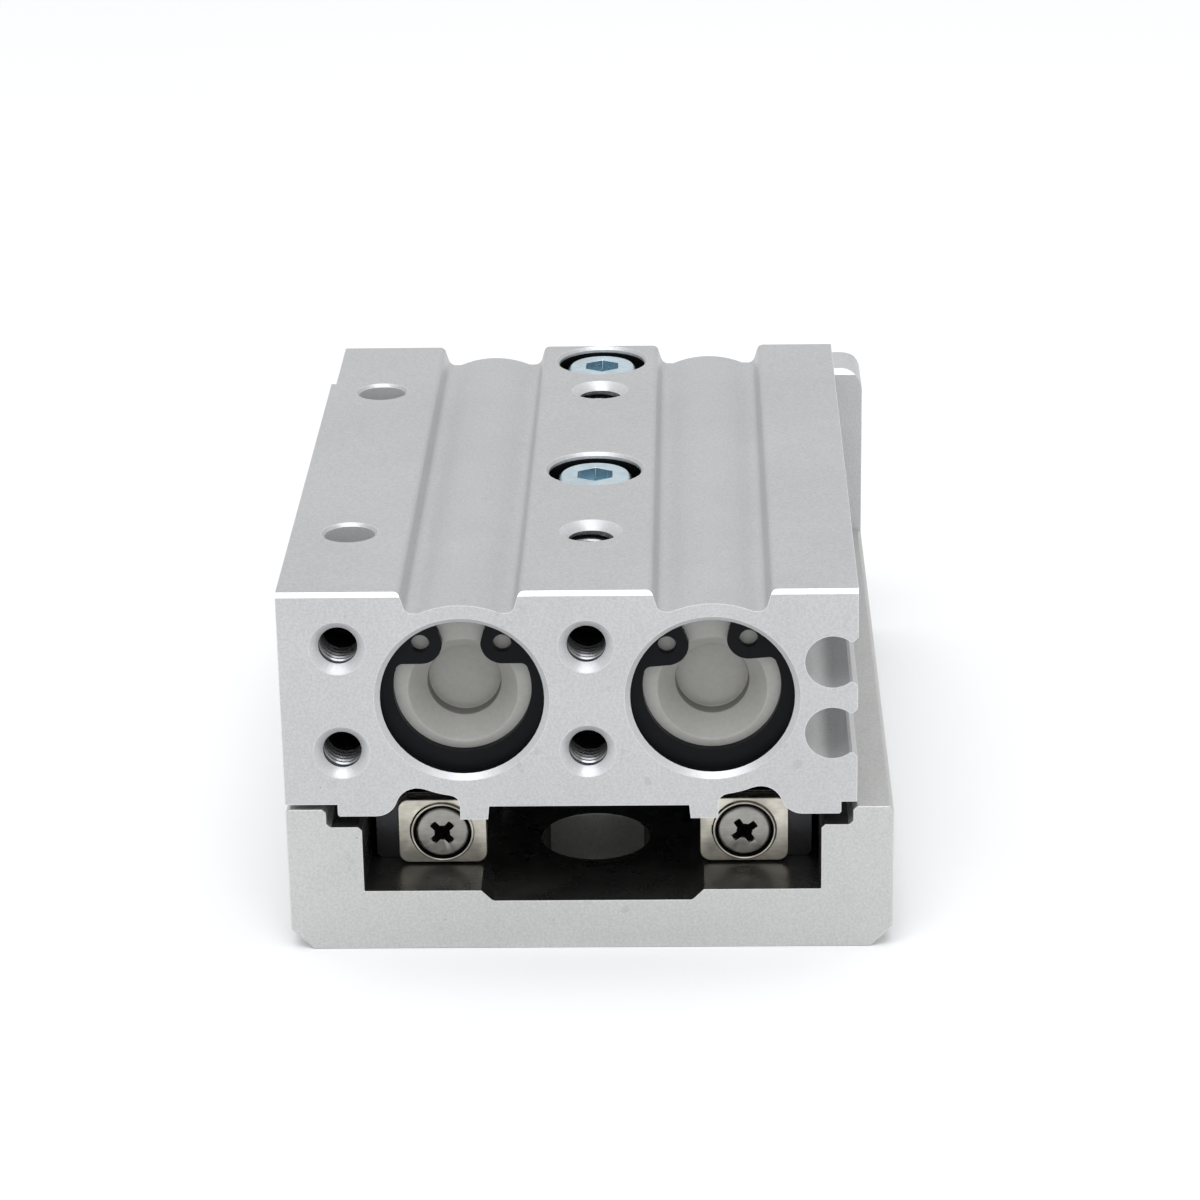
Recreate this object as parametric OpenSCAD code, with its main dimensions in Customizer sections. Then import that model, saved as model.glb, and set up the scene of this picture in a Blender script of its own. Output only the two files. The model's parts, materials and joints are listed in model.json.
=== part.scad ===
// Twin-rod pneumatic slide table on a crossed-roller guide, standing on its load face.
// X runs across the table, Y from the rear face to the end plate, and Z up from the load face.

/* [Overall] */
// Length of the cylinder body
body_l = 85; // [80:1:120]
// Width of the cylinder body
body_w = 62; // [60:1:90]
// How much wider the table is than the body, on the switch side
side_step = 4; // [3:0.5:8]
// Height of the table's side walls over the load face
table_h = 16.8; // [16:0.2:24]
// Travel of the table
stroke = 30; // [10:1:36]

/* [Bores] */
// Diameter of each cylinder bore
bore_d = 16; // [13:0.5:17]
// How far a bore's mouths are wider than the bore, on the radius
mouth_step = 0.84; // [0.6:0.02:1.2]
// Wall between the mouths of the two bores
bore_web = 9.22; // [9:0.02:16]
// Wall over each mouth, up to the crown of its groove
crown_wall = 2.1; // [1.6:0.1:4]
// How far the ribs stand over the crowns
crown_drop = 1.45; // [0.8:0.05:3]
// Wall under each mouth, down to the roof over its rail
roof_wall = 2.46; // [1.8:0.02:4]
// How far that roof lies over the body's lower edge, under the bore's axis
roof_rise = 0.91; // [0.6:0.01:2]
// Depth of a mouth
mouth_l = 6.5; // [6:0.5:9]
// Chamfer round each mouth
mouth_chamfer = 0.6; // [0.2:0.05:0.8]

/* [Snap rings] */
// Distance from the end of the body to the snap ring groove
ring_in = 1.8; // [1.2:0.1:2.5]
// Thickness of a snap ring
ring_t = 1; // [0.8:0.1:1.2]
// How deep the snap ring groove is cut into the mouth's wall
ring_groove = 0.45; // [0.3:0.05:0.8]
// How far a snap ring reaches into the mouth, opposite its lugs
ring_band = 2.07; // [1.6:0.01:2.6]
// How much less it reaches in at the lugs
ring_thin = 1.36; // [0.6:0.01:1.5]
// Angle between the middle of the opening and a lug's hole
lug_a = 37; // [32:0.5:45]
// Radius of the mouth that the lugs' sizes hold for; in another mouth they are to scale
lug_mouth_r = 8.84; // [8:0.02:10]
// Radius of a lug
lug_r = 2.35; // [1.8:0.05:2.5]
// Distance from the mouth's wall to the middle of a lug
lug_in = 1.52; // [1.4:0.02:1.8]
// Diameter of the holes in the lugs
lug_hole_d = 2; // [1.5:0.1:2.5]
// How much wider the opening between the lugs is at the mouth's wall
ring_flare = 1.3; // [0.5:0.1:2]
// Radius in the corners between the lugs and the ring
ring_fillet = 0.8; // [0.3:0.1:1.2]
// Angle by which the right rear snap ring sits turned in its groove
ring_turn = 4.6; // [-20:0.2:20]

/* [Grooves over the bores] */
// Width of a groove between the ribs
groove_w = 12.8; // [12:0.1:15]
// Width of its floor
groove_floor_w = 11.4; // [10:0.1:12]
// Depth of its floor under the ribs
groove_h = 2.35; // [1.8:0.05:3]
// Rounding where a groove's side meets the top of a rib
rib_round = 0.7; // [0.2:0.05:0.9]
// Rounding between a groove's side and its floor
groove_fillet = 0.9; // [0.4:0.05:1.2]
// Chamfer across the ends of the ribs
rib_chamfer = 0.45; // [0.2:0.05:0.8]

/* [Underside of the body] */
// Half width of the recess that seats the guide block
recess_half = 10.85; // [9:0.05:11.5]
// Height of that recess over the pads beside it
recess_h = 1.55; // [1:0.05:2.5]
// Width of each pad beside the recess
pad_w = 3; // [2:0.1:3.6]
// How far the pads reach below the body's lower edge
pad_drop = 1.85; // [1.6:0.05:2.2]
// How far the feet reach below the body's lower edge
foot_drop = 1.4; // [1:0.05:1.6]
// Gap between a foot and the table's wall beside it
foot_gap = 1.3; // [0.8:0.1:2]
// Radius of the bends between roof and foot
bend_r = 2.4; // [2:0.1:3]
// Slope at which the roof leaves the round of the bore
roof_slope = 22; // [16:1:28]
// Rounding between roof and pad
roof_fillet = 1.2; // [0.6:0.1:1.4]

/* [Body holes] */
// Distance from the rear face to the first row of mounting holes
row_y = 18.55; // [17:0.05:22]
// Distance between the two rows
row_pitch = 49; // [40:0.5:50]
// Distance of the plain holes from the body's left side
plain_in = 6.5; // [5.5:0.1:8]
// Diameter of the plain mounting holes
plain_d = 5.6; // [5:0.1:6.4]
// Depth of the plain mounting holes
plain_l = 8; // [5:0.5:14]
// Core diameter of the threaded mounting holes between the bores
centre_core_d = 5; // [4.2:0.1:6]
// Diameter of the counterbores over the guide block's screws
sink_d = 10.7; // [9.2:0.02:11]
// Depth of the threaded mounting holes between the bores
centre_core_l = 11; // [8:0.5:12]
// Core diameter of the rear threads and the air ports
core_d = 4.2; // [3.3:0.1:5]
// Depth of the rear threads
rear_core_l = 10; // [6:0.5:12]
// Height of the rear threads over and under the bores' axis
rear_core_z = 6.07; // [5.8:0.01:6.6]
// Chamfer of the plain holes
plain_chamfer = 0.35; // [0.2:0.05:0.6]
// Chamfer of a threaded hole's mouth, beyond its core
core_chamfer = 0.95; // [0.6:0.05:1.2]
// Distance of the air ports from the ends of the body
port_y = 9.3; // [9.1:0.1:9.5]
// Depth of a port's thread
port_core_l = 7.5; // [6:0.5:8]
// Diameter of the air passages
passage_d = 2; // [1.2:0.1:2.2]
// Length of the shallow flat at the front of the left side
flat_l = 14.3; // [10:0.1:16]
// Depth of that flat
flat_t = 0.6; // [0.3:0.1:1]

/* [Switch slots] */
// Radius of a slot's round floor
slot_r = 2.97; // [2.5:0.01:3]
// Distance of its centre from the body's right side
slot_in = 2.7; // [2.5:0.1:3]
// Height of a slot's mouth
slot_mouth = 4.6; // [4.4:0.1:5]
// Wall between a slot and the mouth beside it
slot_web = 1.66; // [1:0.01:2.5]
// Half the land between the two slots, measured at their round floors
slot_land = 1.15; // [0.8:0.05:2]
// Chamfer of a slot's lips
slot_lip = 0.5; // [0.2:0.05:0.6]

/* [Guide] */
// Shift of the guide's centre line from the table's middle
guide_x = 0.2; // [-0.5:0.1:0.5]
// Diameter of the rollers
roller_d = 3; // [2:0.1:3.6]
// How much shorter than their diameter the rollers are
roller_short = 0.2; // [0.1:0.05:0.4]
// Half width of the guide block at the rollers
block_half = 11.5; // [11:0.1:12]
// Distance from the rear face to the guide block
block_y = 34; // [30:0.5:36]
// Gap between block and rail
guide_gap = 1; // [0.8:0.1:1.4]
// Width of a rail
rail_w = 11.7; // [10:0.1:12]
// How far the rails stay below the tops of the table's walls
rail_drop = 1.8; // [1.6:0.1:2.4]
// Distance from the rear face to the rear stopper plates
plate_y = 6.8; // [5:0.1:9]
// Distance of the block's rear screw from its rear end
block_screw_in = 5; // [4.4:0.1:6]
// Distance of the block's front screw from the front of the body
front_screw_in = 5.8; // [5.6:0.1:7]
// Thickness of a roller cage
cage_t = 0.4; // [0.3:0.1:0.6]
// Height of a roller cage
cage_h = 6.2; // [5.4:0.1:6.8]
// Distance from roller to roller, in roller diameters
roller_step = 1.35; // [1.25:0.05:1.6]

/* [Stopper plates] */
// Width of a stopper plate
plate_w = 9.8; // [8:0.1:10.5]
// Height of a stopper plate
plate_h = 7.6; // [6.6:0.1:7.7]
// Thickness of a stopper plate
plate_t = 1.7; // [1.4:0.1:2]
// Corner radius of a stopper plate
plate_r = 1.2; // [0.6:0.1:2]
// Radius of the raised rim round its screw
rim_r = 3.5; // [3.3:0.05:3.7]
// Radius of the pocket in that rim
pocket_r = 3.2; // [3.1:0.05:3.25]
// Height of the rim
rim_h = 0.4; // [0.2:0.1:0.6]
// Depth of the pocket
pocket_l = 1; // [0.8:0.1:1.2]

/* [Table] */
// Thickness of the table under the rails
floor_t = 7; // [6.5:0.1:8]
// Thickness of the table under the guide block
channel_t = 5.75; // [5:0.05:6.2]
// Half width of the channel under the guide block
channel_half = 10.9; // [10:0.1:11]
// Width of the table's walls at their top
wall_w = 4.4; // [4:0.1:6]
// How far the ledges inside the walls lie below their tops
ledge_drop = 2.1; // [1.8:0.1:2.6]
// Gap between a rail and the side of its recess
rail_gap = 0.75; // [0.5:0.05:1.2]
// Chamfer along the table's lower edges
table_chamfer = 2.4; // [1:0.1:3]
// Radius of the access hole in the channel
access_r = 6.1; // [4:0.1:7]
// Distance of the access hole from the rear face
access_y = 16.6; // [15:0.1:20]
// Spacing of the load face's threads across the table
load_pitch_x = 38; // [36:1:40]
// Spacing of the load face's threads along the table
load_pitch_y = 40; // [30:1:44]
// Depth of the load face's threads
load_core_l = 6; // [5:0.5:6.5]
// Diameter of the dowel holes in the load face
dowel_d = 4; // [3:0.5:4]
// How far the dowel holes lie ahead of the threads
dowel_shift = 10; // [6:0.5:12]
// Depth of the dowel holes
dowel_l = 4; // [3:0.5:4.5]

/* [End plate] */
// Thickness of the end plate
end_t = 8; // [8:0.5:12]
// Gap between the end plate and the body
end_gap = 0.5; // [0.4:0.1:1]
// How far the end plate stays below the body's top
end_drop = 3.6; // [3:0.1:5]
// How far the end plate stays above the load face
end_lift = 0.4; // [0.2:0.1:1]
// Corner radius of the end plate
end_r = 2.6; // [1:0.1:3]
// Chamfer of the end plate's upper edges
end_chamfer = 0.7; // [0.4:0.1:1]
// How much wider the dips in its top edge are than the grooves behind them
end_dip = 2.4; // [1:0.1:4]

/* [Caps and covers] */
// Width of a cap's flat edge outside its dish
cap_edge = 2.86; // [2:0.02:3.5]
// Depth of the tapered dish
dish_l = 2.9; // [2:0.1:3]
// Radius of the pocket in the dish
cap_pocket_r = 3.95; // [3:0.05:4.5]
// Depth of that pocket under the dish
cap_pocket_l = 1.4; // [1:0.1:2]
// Length of a cap's nose
nose_l = 4; // [3.8:0.1:5]
// Gap between the bore and the nose of a cap or cover
nose_gap = 1.1; // [0.8:0.1:1.6]
// Width of an O-ring's groove
o_ring_w = 1.4; // [1.2:0.1:1.8]
// Depth of an O-ring's groove
o_ring_h = 0.9; // [0.7:0.05:1.1]
// Radial width of a rod's lip seal
rod_seal_h = 1.6; // [1.2:0.1:2]
// Depth of the seat of a rod's lip seal
rod_seal_l = 2; // [1.6:0.1:2.4]

/* [Pistons and rods] */
// Diameter of a piston rod
rod_d = 8; // [6:0.5:8]
// Length of a piston
piston_l = 12; // [10:0.5:14]
// Thickness of a piston's bumpers
bumper_t = 1.2; // [0.8:0.1:2]
// Diameter of a rod's threaded end
rod_end_d = 5; // [4:0.5:5]
// Depth of the grooves in a piston
piston_groove = 1.8; // [1.4:0.1:2.2]
// Width of a piston seal
piston_seal_l = 1.8; // [1.4:0.1:2.4]
// Width of a piston's magnet
magnet_l = 3; // [2:0.5:4]
// Radius of the bush that centres a rod in the end plate
bush_r = 4.9; // [4:0.1:6]
// Length of that bush inside its bore
bush_l = 4; // [3:0.5:5]
// Width over flats of the nut on a rod
nut_flats = 8; // [7:0.5:10]
// Thickness of that nut
nut_l = 2.6; // [2:0.1:2.7]

/* [Clearances] */
// Gap of parts that stand next to each other
gap = 0.3; // [0.2:0.05:0.4]
// Running fit on the radius
run_fit = 0.05; // [0.02:0.01:0.08]
// Fit of parts that sit in each other
seat_fit = 0.03; // [0.02:0.01:0.05]
// Gap between the table's walls and the body
wall_gap = 0.6; // [0.4:0.1:1]

/* [Hidden] */
$fn = 64;

// Overall
table_w = body_w + side_step;
table_l = body_l + end_gap;
overall_l = table_l + end_t;
left_x = -table_w / 2;
right_x = left_x + body_w;
mouth_r = bore_d / 2 + mouth_step;
bore_r = bore_d / 2;
lug_scale = mouth_r / lug_mouth_r;
crown_r = mouth_r + crown_wall;
roof_r = mouth_r + roof_wall;
nose_r = bore_r - nose_gap;
dish_r = mouth_r - seat_fit - cap_edge;
bore_x = mouth_r + bore_web / 2;
body_z = table_h + wall_gap;
axis_z = body_z + roof_rise + roof_r;
top_z = axis_z + crown_r + crown_drop;
slot_x = right_x - slot_in;
slot_reach = mouth_r + slot_r + slot_web;
slot_z = max(slot_r + slot_land, sqrt(max(0, slot_reach ^ 2 - (slot_x - bore_x) ^ 2)));
sides = [-1, 1];

// Underside of the body
foot_z = body_z - foot_drop;
pad_z = body_z - pad_drop;
recess_z = pad_z + recess_h;
pad_x = recess_half + 0.15;
pad_out_x = pad_x + pad_w;
ledge_half = table_w / 2 - wall_w;
foot_x = ledge_half - foot_gap;
fillet_x = pad_out_x + roof_fillet;
fillet_a = asin((fillet_x - bore_x) / (roof_r + roof_fillet));
fillet_z = axis_z - (roof_r + roof_fillet) * cos(fillet_a);
bend_x = bore_x + (roof_r + bend_r) * sin(roof_slope);
bend_z = axis_z - (roof_r + bend_r) * cos(roof_slope);
bend_a = asin((foot_z + bend_r - bend_z) / (2 * bend_r));

// Guide
rail_top_z = table_h - rail_drop;
guide_z = (floor_t + rail_top_z) / 2;
race_x = block_half + guide_gap / 2;
race_half = (roller_d + 2 * run_fit) / sqrt(2);
rail_in_x = block_half + guide_gap;
rail_out_x = rail_in_x + rail_w;
rail_y = plate_y + plate_t;
front_plate_y = table_l - gap - rim_h;
rail_l = front_plate_y - plate_t - rail_y;
block_l = body_l - block_y;
cage_l = block_l - stroke / 2 - 2 * gap;
cage_y = block_y + gap;
roller_pitch = roller_d * roller_step;
roller_count = floor((cage_l - 1.5 * roller_d) / roller_pitch) + 1;
plate_x = block_half + gap + plate_w / 2;
channel_slope = floor_t - channel_t;
recess_side = rail_out_x + rail_gap;
ledge_z = table_h - ledge_drop;

// Screws: thread radius, head radius, head height, socket width over flats
M5 = [2.5, 4.25, 5, 4];
M4 = [2, 3.5, 4, 3];
M3 = [1.5, 2.75, 3, 2.5];
head_sink = 0.7;
hole_slack = 0.2;
block_head_z = top_z - head_sink - M5[2];
block_screw_l = block_head_z - floor_t - 3;
block_screw_ys = [block_y + block_screw_in, body_l - front_screw_in];
rail_screw_x = rail_in_x + rail_w * 0.55;
rail_screw_seat = M3[2] + 0.5;
rail_screw_in = 5;
rail_screw_ys = [for (i = [0:2]) rail_y + rail_l * (0.12 + 0.38 * i)];
end_screw_l = 12;
end_screw_sink = 0.3;
upper_screw_x = ledge_half + 0.4;
upper_screw_z = 8;
lower_screw_x = 11;
lower_screw_z = 3.6;
load_ys = [table_l / 2 + 2 - load_pitch_y / 2, table_l / 2 + 2 + load_pitch_y / 2];

// Pan head screws of the stopper plates
pan_r = 2.95;
pan_h = 1.05;
pan_l = 6;
pan_round = 0.45;
cross_l = 3.3;
cross_w = 0.84;
cross_h = 1.2;

// Pistons and rods
cap_y = ring_in + ring_t + seat_fit;
nose_y = mouth_l + nose_l;
piston_y = nose_y + gap + bumper_t;
cover_y = body_l - cap_y;
cover_nose_y = piston_y + piston_l + bumper_t + stroke + gap;
flange_l = mouth_l - cap_y - seat_fit;
rod_end_l = end_t - 0.4;
bush_flange_r = bush_r + 0.9;
bush_flange_l = 1;
nut_y = table_l + bush_l + bush_flange_l;
magnet_y = (piston_l - magnet_l) / 2 - 0.3;
seal_ys = [1.2, piston_l - 1.2 - piston_seal_l];

// Radius of the core hole that a screw of this size is driven into
function core_r(m) = m[0] * 0.84;

// A point at an angle on a circle
function polar(r, a) = r * [cos(a), sin(a)];

// Points along an arc from angle a0 to a1
function arc(c, r, a0, a1, n) = [for (i = [0:n]) c + polar(r, a0 + (a1 - a0) * i / n)];

// The points of the other half of a symmetrical outline
function flip(points) = [for (i = [len(points) - 1:-1:0]) [-points[i][0], points[i][1]]];

// Everything is drawn from the rear face and then moved to the object's own centre
module placed() translate([0, -overall_l / 2, 0]) children();

// A profile in X and Z, drawn along Y
module along_y(y, l) translate([0, y + l, 0]) rotate([90, 0, 0]) linear_extrude(l) children();

// A rod along Y, from y to y + l
module y_rod(x, y, z, r, l) translate([x, y, z]) rotate([-90, 0, 0]) cylinder(r = r, h = l);

// A cone along Y, from radius r1 at y to r2 at y + l
module y_cone(x, y, z, r1, r2, l) translate([x, y, z]) rotate([-90, 0, 0]) cylinder(r1 = r1, r2 = r2, h = l);

// A turned part about an axis along Y; the outline holds [radius, distance along Y]
module turned(x, y, z) translate([x, y, z]) rotate([-90, 0, 0]) rotate_extrude() children();

// Outline of half the body's underside, from the middle out to a side
function under_half(side_x) = concat(
    [[recess_half, recess_z], [pad_x, pad_z], [pad_out_x, pad_z]],
    arc([fillet_x, fillet_z], roof_fillet, 180, 90 + fillet_a, 4),
    arc([bore_x, axis_z], roof_r, fillet_a - 90, roof_slope - 90, 4),
    arc([bend_x, bend_z], bend_r, 90 + roof_slope, bend_a, 7),
    arc([bend_x, bend_z] + 2 * bend_r * [cos(bend_a), sin(bend_a)], bend_r, 180 + bend_a, 270, 6),
    [[foot_x - 0.2, foot_z], [foot_x, foot_z + 0.2], [foot_x, body_z], [side_x, body_z]]
);

module body_outline() polygon(concat(
    under_half(right_x),
    [[right_x, top_z], [left_x, top_z]],
    flip(under_half(-left_x))
));

// Outline of a groove over a bore, rounded at the ribs' edges and in its corners
module groove_outline() {
    lean = atan((groove_w - groove_floor_w) / 2 / groove_h);
    reach = tan((90 - lean) / 2);
    floor_c = [groove_floor_w / 2 - groove_fillet * reach, groove_fillet - groove_h];
    rib_c = [groove_w / 2 + rib_round * reach, -rib_round];
    half = concat(
        arc(floor_c, groove_fillet, -90, -lean, 5), arc(rib_c, rib_round, 180 - lean, 90, 4),
        [[rib_c[0], 1]]
    );
    polygon(concat(half, flip(half)));
}

// One bore with its two mouths and snap ring grooves
module bore_cut(x) {
    y_rod(x, -1, axis_z, bore_r, body_l + 2);
    for (end = [0, 1]) {
        translate([0, end * body_l, 0]) mirror([0, end, 0]) {
            y_rod(x, -1, axis_z, mouth_r, mouth_l + 1);
            y_cone(x, -0.01, axis_z, mouth_r + mouth_chamfer, mouth_r, mouth_chamfer + 0.01);
            y_rod(x, ring_in, axis_z, mouth_r + ring_groove + seat_fit, ring_t + seat_fit);
        }
    }
}

// A blind threaded hole in the rear face
module rear_core(x, z) {
    y_rod(x, -1, z, core_d / 2, rear_core_l + 1);
    y_cone(x, -0.01, z, core_d / 2 + core_chamfer, core_d / 2, core_chamfer + 0.01);
}

// A hole down from the top of the body
module top_hole(x, y, r, l, chamfer) {
    translate([x, y, top_z - l]) cylinder(r = r, h = l + 1);
    translate([x, y, top_z - chamfer]) cylinder(r1 = r, r2 = r + chamfer + 0.01, h = chamfer + 0.01);
}

// An air port in the left side, whose face is at x here, and the passages to the bores
module port_cut(x, y) translate([x, y, axis_z]) rotate([0, 90, 0]) {
    translate([0, 0, -1]) cylinder(r = core_d / 2, h = port_core_l + 1);
    translate([0, 0, -0.01])
        cylinder(r1 = core_d / 2 + core_chamfer, r2 = core_d / 2, h = core_chamfer + 0.01);
    cylinder(r = passage_d / 2, h = bore_x - x);
}

// A switch slot along the right side
module slot_cut(z) {
    y_rod(slot_x, -1, z, slot_r, body_l + 2);
    along_y(-1, body_l + 2) polygon([
        [slot_x, z - slot_mouth / 2], [right_x - slot_lip, z - slot_mouth / 2],
        [right_x + 0.01, z - slot_mouth / 2 - slot_lip], [right_x + 1, z - slot_mouth / 2 - slot_lip],
        [right_x + 1, z + slot_mouth / 2 + slot_lip], [right_x + 0.01, z + slot_mouth / 2 + slot_lip],
        [right_x - slot_lip, z + slot_mouth / 2], [slot_x, z + slot_mouth / 2]
    ]);
}

// What a chamfer takes off an edge that runs across at y and z
module edge_cut(y, z, chamfer) translate([0, y, z]) rotate([45, 0, 0])
    cube([table_w + 2, chamfer * sqrt(2), chamfer * sqrt(2)], center = true);

module cylinder_body() color([0.76, 0.77, 0.78]) placed() difference() {
    along_y(0, body_l) body_outline();
    for (s = sides) {
        difference() {
            along_y(-1, body_l + 2) translate([s * bore_x, top_z]) groove_outline();
            y_rod(s * bore_x, -2, axis_z, crown_r, body_l + 4);
        }
        bore_cut(s * bore_x);
        slot_cut(axis_z + s * slot_z);
        rear_core(0, axis_z + s * rear_core_z);
        rear_core(left_x + plain_in - 0.1, axis_z + s * rear_core_z);
    }
    for (end = [0, 1]) {
        y = row_y + end * row_pitch;
        top_hole(left_x + plain_in, y, plain_d / 2, plain_l, plain_chamfer);
        top_hole(guide_x, y, centre_core_d / 2, centre_core_l, core_chamfer);
        port_cut(left_x + end * flat_t, end == 0 ? port_y : body_l - port_y);
    }
    edge_cut(0, top_z, rib_chamfer);
    for (y = block_screw_ys) {
        translate([guide_x, y, 0]) cylinder(r = M5[0] + hole_slack, h = top_z);
        top_hole(guide_x, y, sink_d / 2, head_sink + M5[2], plain_chamfer);
    }
    translate([left_x - 1, body_l - flat_l, body_z - 5]) cube([flat_t + 1, flat_l + 1, top_z]);
}

// The resin cap that closes a bore at the rear
module head_cap(x) color([0.62, 0.61, 0.59]) placed() turned(x, cap_y, axis_z) difference() {
    union() {
        square([mouth_r - seat_fit, flange_l]);
        square([nose_r, flange_l + nose_l]);
    }
    polygon([
        [0, -0.1], [dish_r + 0.07, -0.1], [dish_r, 0], [cap_pocket_r, dish_l],
        [cap_pocket_r, dish_l + cap_pocket_l], [0, dish_l + cap_pocket_l]
    ]);
    translate([mouth_r - seat_fit - o_ring_h, (flange_l - o_ring_w) / 2]) square([2, o_ring_w]);
}

// An O-ring, squeezed between its groove and the mouth's wall
module o_ring(x, y) turned(x, y, axis_z)
    translate([mouth_r - (o_ring_h + seat_fit) / 2, 0])
    polygon([for (a = [0:20:340]) [o_ring_h * 0.48 * cos(a), o_ring_w * 0.43 * sin(a)]]);

// A snap ring; the opening between its lugs is at the top, turned by an angle
module snap_ring(x, y, turn) {
    outer_r = mouth_r + ring_groove;
    lift = ring_thin / 2;
    inner_r = mouth_r - ring_band + lift;
    tip_r = lug_r * lug_scale;
    lug = polar(mouth_r - lug_in * lug_scale, 90 - lug_a);
    fillet_low = lug[1] - tip_r - ring_fillet;
    fillet_out = sqrt((inner_r - ring_fillet) ^ 2 - (fillet_low - lift) ^ 2);
    half_open = lug[0] - tip_r;
    along_y(y, ring_t) translate([x, axis_z]) rotate(turn) difference() {
        intersection() {
            circle(r = outer_r);
            union() {
                difference() {
                    circle(r = outer_r);
                    translate([0, lift]) circle(r = inner_r);
                }
                for (s = sides) mirror([s < 0 ? 1 : 0, 0]) {
                    translate(lug) circle(r = tip_r);
                    translate([lug[0], lug[1] - tip_r]) square([outer_r, tip_r]);
                    difference() {
                        translate([fillet_out, fillet_low]) square([2 * ring_fillet, ring_fillet + 0.1]);
                        translate([fillet_out, fillet_low]) circle(r = ring_fillet);
                    }
                }
            }
        }
        for (s = sides) translate([s * lug[0], lug[1]]) circle(d = lug_hole_d * lug_scale);
        polygon([
            [-half_open, lug[1]], [half_open, lug[1]],
            [half_open + ring_flare, outer_r + 1], [-half_open - ring_flare, outer_r + 1]
        ]);
    }
}

// The cover that guides a rod at the front; its nose ends where the piston stops
module rod_cover(x) color([0.70, 0.71, 0.72]) placed() difference() {
    union() {
        y_rod(x, cover_y - flange_l, axis_z, mouth_r - seat_fit, flange_l);
        y_rod(x, cover_nose_y, axis_z, nose_r, cover_y - cover_nose_y - 1);
    }
    y_rod(x, cover_nose_y - 1, axis_z, rod_d / 2 + run_fit, cover_y - cover_nose_y + 2);
    y_rod(x, cover_y - rod_seal_l, axis_z, rod_d / 2 + rod_seal_h, rod_seal_l + 1);
    turned(x, cover_y - (flange_l + o_ring_w) / 2, axis_z)
        translate([mouth_r - seat_fit - o_ring_h, 0]) square([2, o_ring_w]);
}

// The lip seal round a rod, with the notch between its lips
module rod_seal(x) {
    inner = rod_d / 2 + run_fit;
    outer = rod_d / 2 + rod_seal_h - seat_fit;
    lips_l = rod_seal_l - 0.4;
    turned(x, cover_y - rod_seal_l + seat_fit, axis_z) polygon([
        [inner, 0], [outer, 0], [outer, lips_l], [inner + rod_seal_h * 0.55, lips_l],
        [inner + rod_seal_h * 0.42, lips_l * 0.55], [inner + rod_seal_h * 0.3, lips_l], [inner, lips_l - 0.2]
    ]);
}

// A socket head screw with the underside of its head at z = 0; its plain shank is as long as the grip
module socket_screw(m, l, grip) difference() {
    rotate_extrude() polygon([
        [0, -l], [core_r(m) - 0.55, -l], [core_r(m) - seat_fit, -l + 0.5], [core_r(m) - seat_fit, -grip],
        [m[0], -grip], [m[0], 0], [m[1], 0], [m[1], m[2] - 0.4], [m[1] - 0.4, m[2]], [0, m[2]]
    ]);
    translate([0, 0, m[2] * 0.5]) rotate(90) cylinder(r = m[3] / sqrt(3), h = m[2], $fn = 6);
}

// A cross recessed pan head screw that faces the rear, with its head's underside at y = 0
module pan_screw(turn) rotate([90, 0, 0]) difference() {
    union() {
        rotate_extrude() polygon(concat(
            [[0, 0], [pan_r, 0]],
            arc([pan_r - pan_round, pan_h - pan_round - 0.1], pan_round, 0, 80, 4),
            [[0, pan_h]]
        ));
        translate([0, 0, -pan_l]) cylinder(r = core_r(M3) - seat_fit, h = pan_l + 0.1);
    }
    intersection() {
        union() for (a = [0, 90])
            rotate(turn + a) translate([-cross_l / 2, -cross_w / 2, -cross_h]) cube([cross_l, cross_w, 4]);
        translate([0, 0, -cross_h]) cylinder(r1 = 0.4, r2 = cross_l / 2, h = cross_h + pan_h + 0.1);
    }
    translate([0, 0, -0.6]) cylinder(r1 = 0.3, r2 = 0.95, h = pan_h + 0.75);
}

// The cross section of a race: a square on its corner
module race(x) translate([x, guide_z]) rotate(45) square(race_half * sqrt(2), center = true);

module guide_block() color([0.42, 0.43, 0.45]) placed() difference() {
    neck = recess_half - gap - abs(guide_x);
    shoulder_z = pad_z - gap;
    under_z = floor_t + 0.4;
    half = [
        [block_half - 0.8, under_z], [block_half, under_z + 0.8], [block_half, shoulder_z - 0.4],
        [block_half - 0.4, shoulder_z], [neck, shoulder_z], [neck, recess_z]
    ];
    along_y(block_y, block_l) translate([guide_x, 0]) difference() {
        polygon(concat(half, flip(half)));
        for (s = sides) race(s * race_x);
    }
    for (y = block_screw_ys)
        translate([guide_x, y, 0]) cylinder(r = core_r(M5), h = top_z);
}

// A rail, drawn for the right side
module guide_rail(s) color([0.30, 0.31, 0.33]) placed() difference() {
    along_y(rail_y, rail_l) translate([guide_x, 0]) mirror([s < 0 ? 1 : 0, 0]) difference() {
        polygon([
            [rail_in_x, floor_t], [rail_out_x - 0.5, floor_t], [rail_out_x, floor_t + 0.5],
            [rail_out_x, rail_top_z - 0.5], [rail_out_x - 0.5, rail_top_z],
            [rail_in_x + 0.5, rail_top_z], [rail_in_x, rail_top_z - 0.5]
        ]);
        race(race_x);
    }
    for (y = rail_screw_ys)
        translate([guide_x + s * rail_screw_x, y, 0])
            cylinder(r = core_r(M3), h = floor_t + rail_screw_in + 0.5);
    for (y = [rail_y - 1, rail_y + rail_l - pan_l])
        y_rod(guide_x + s * plate_x, y, guide_z, core_r(M3), pan_l + 1);
}

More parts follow.
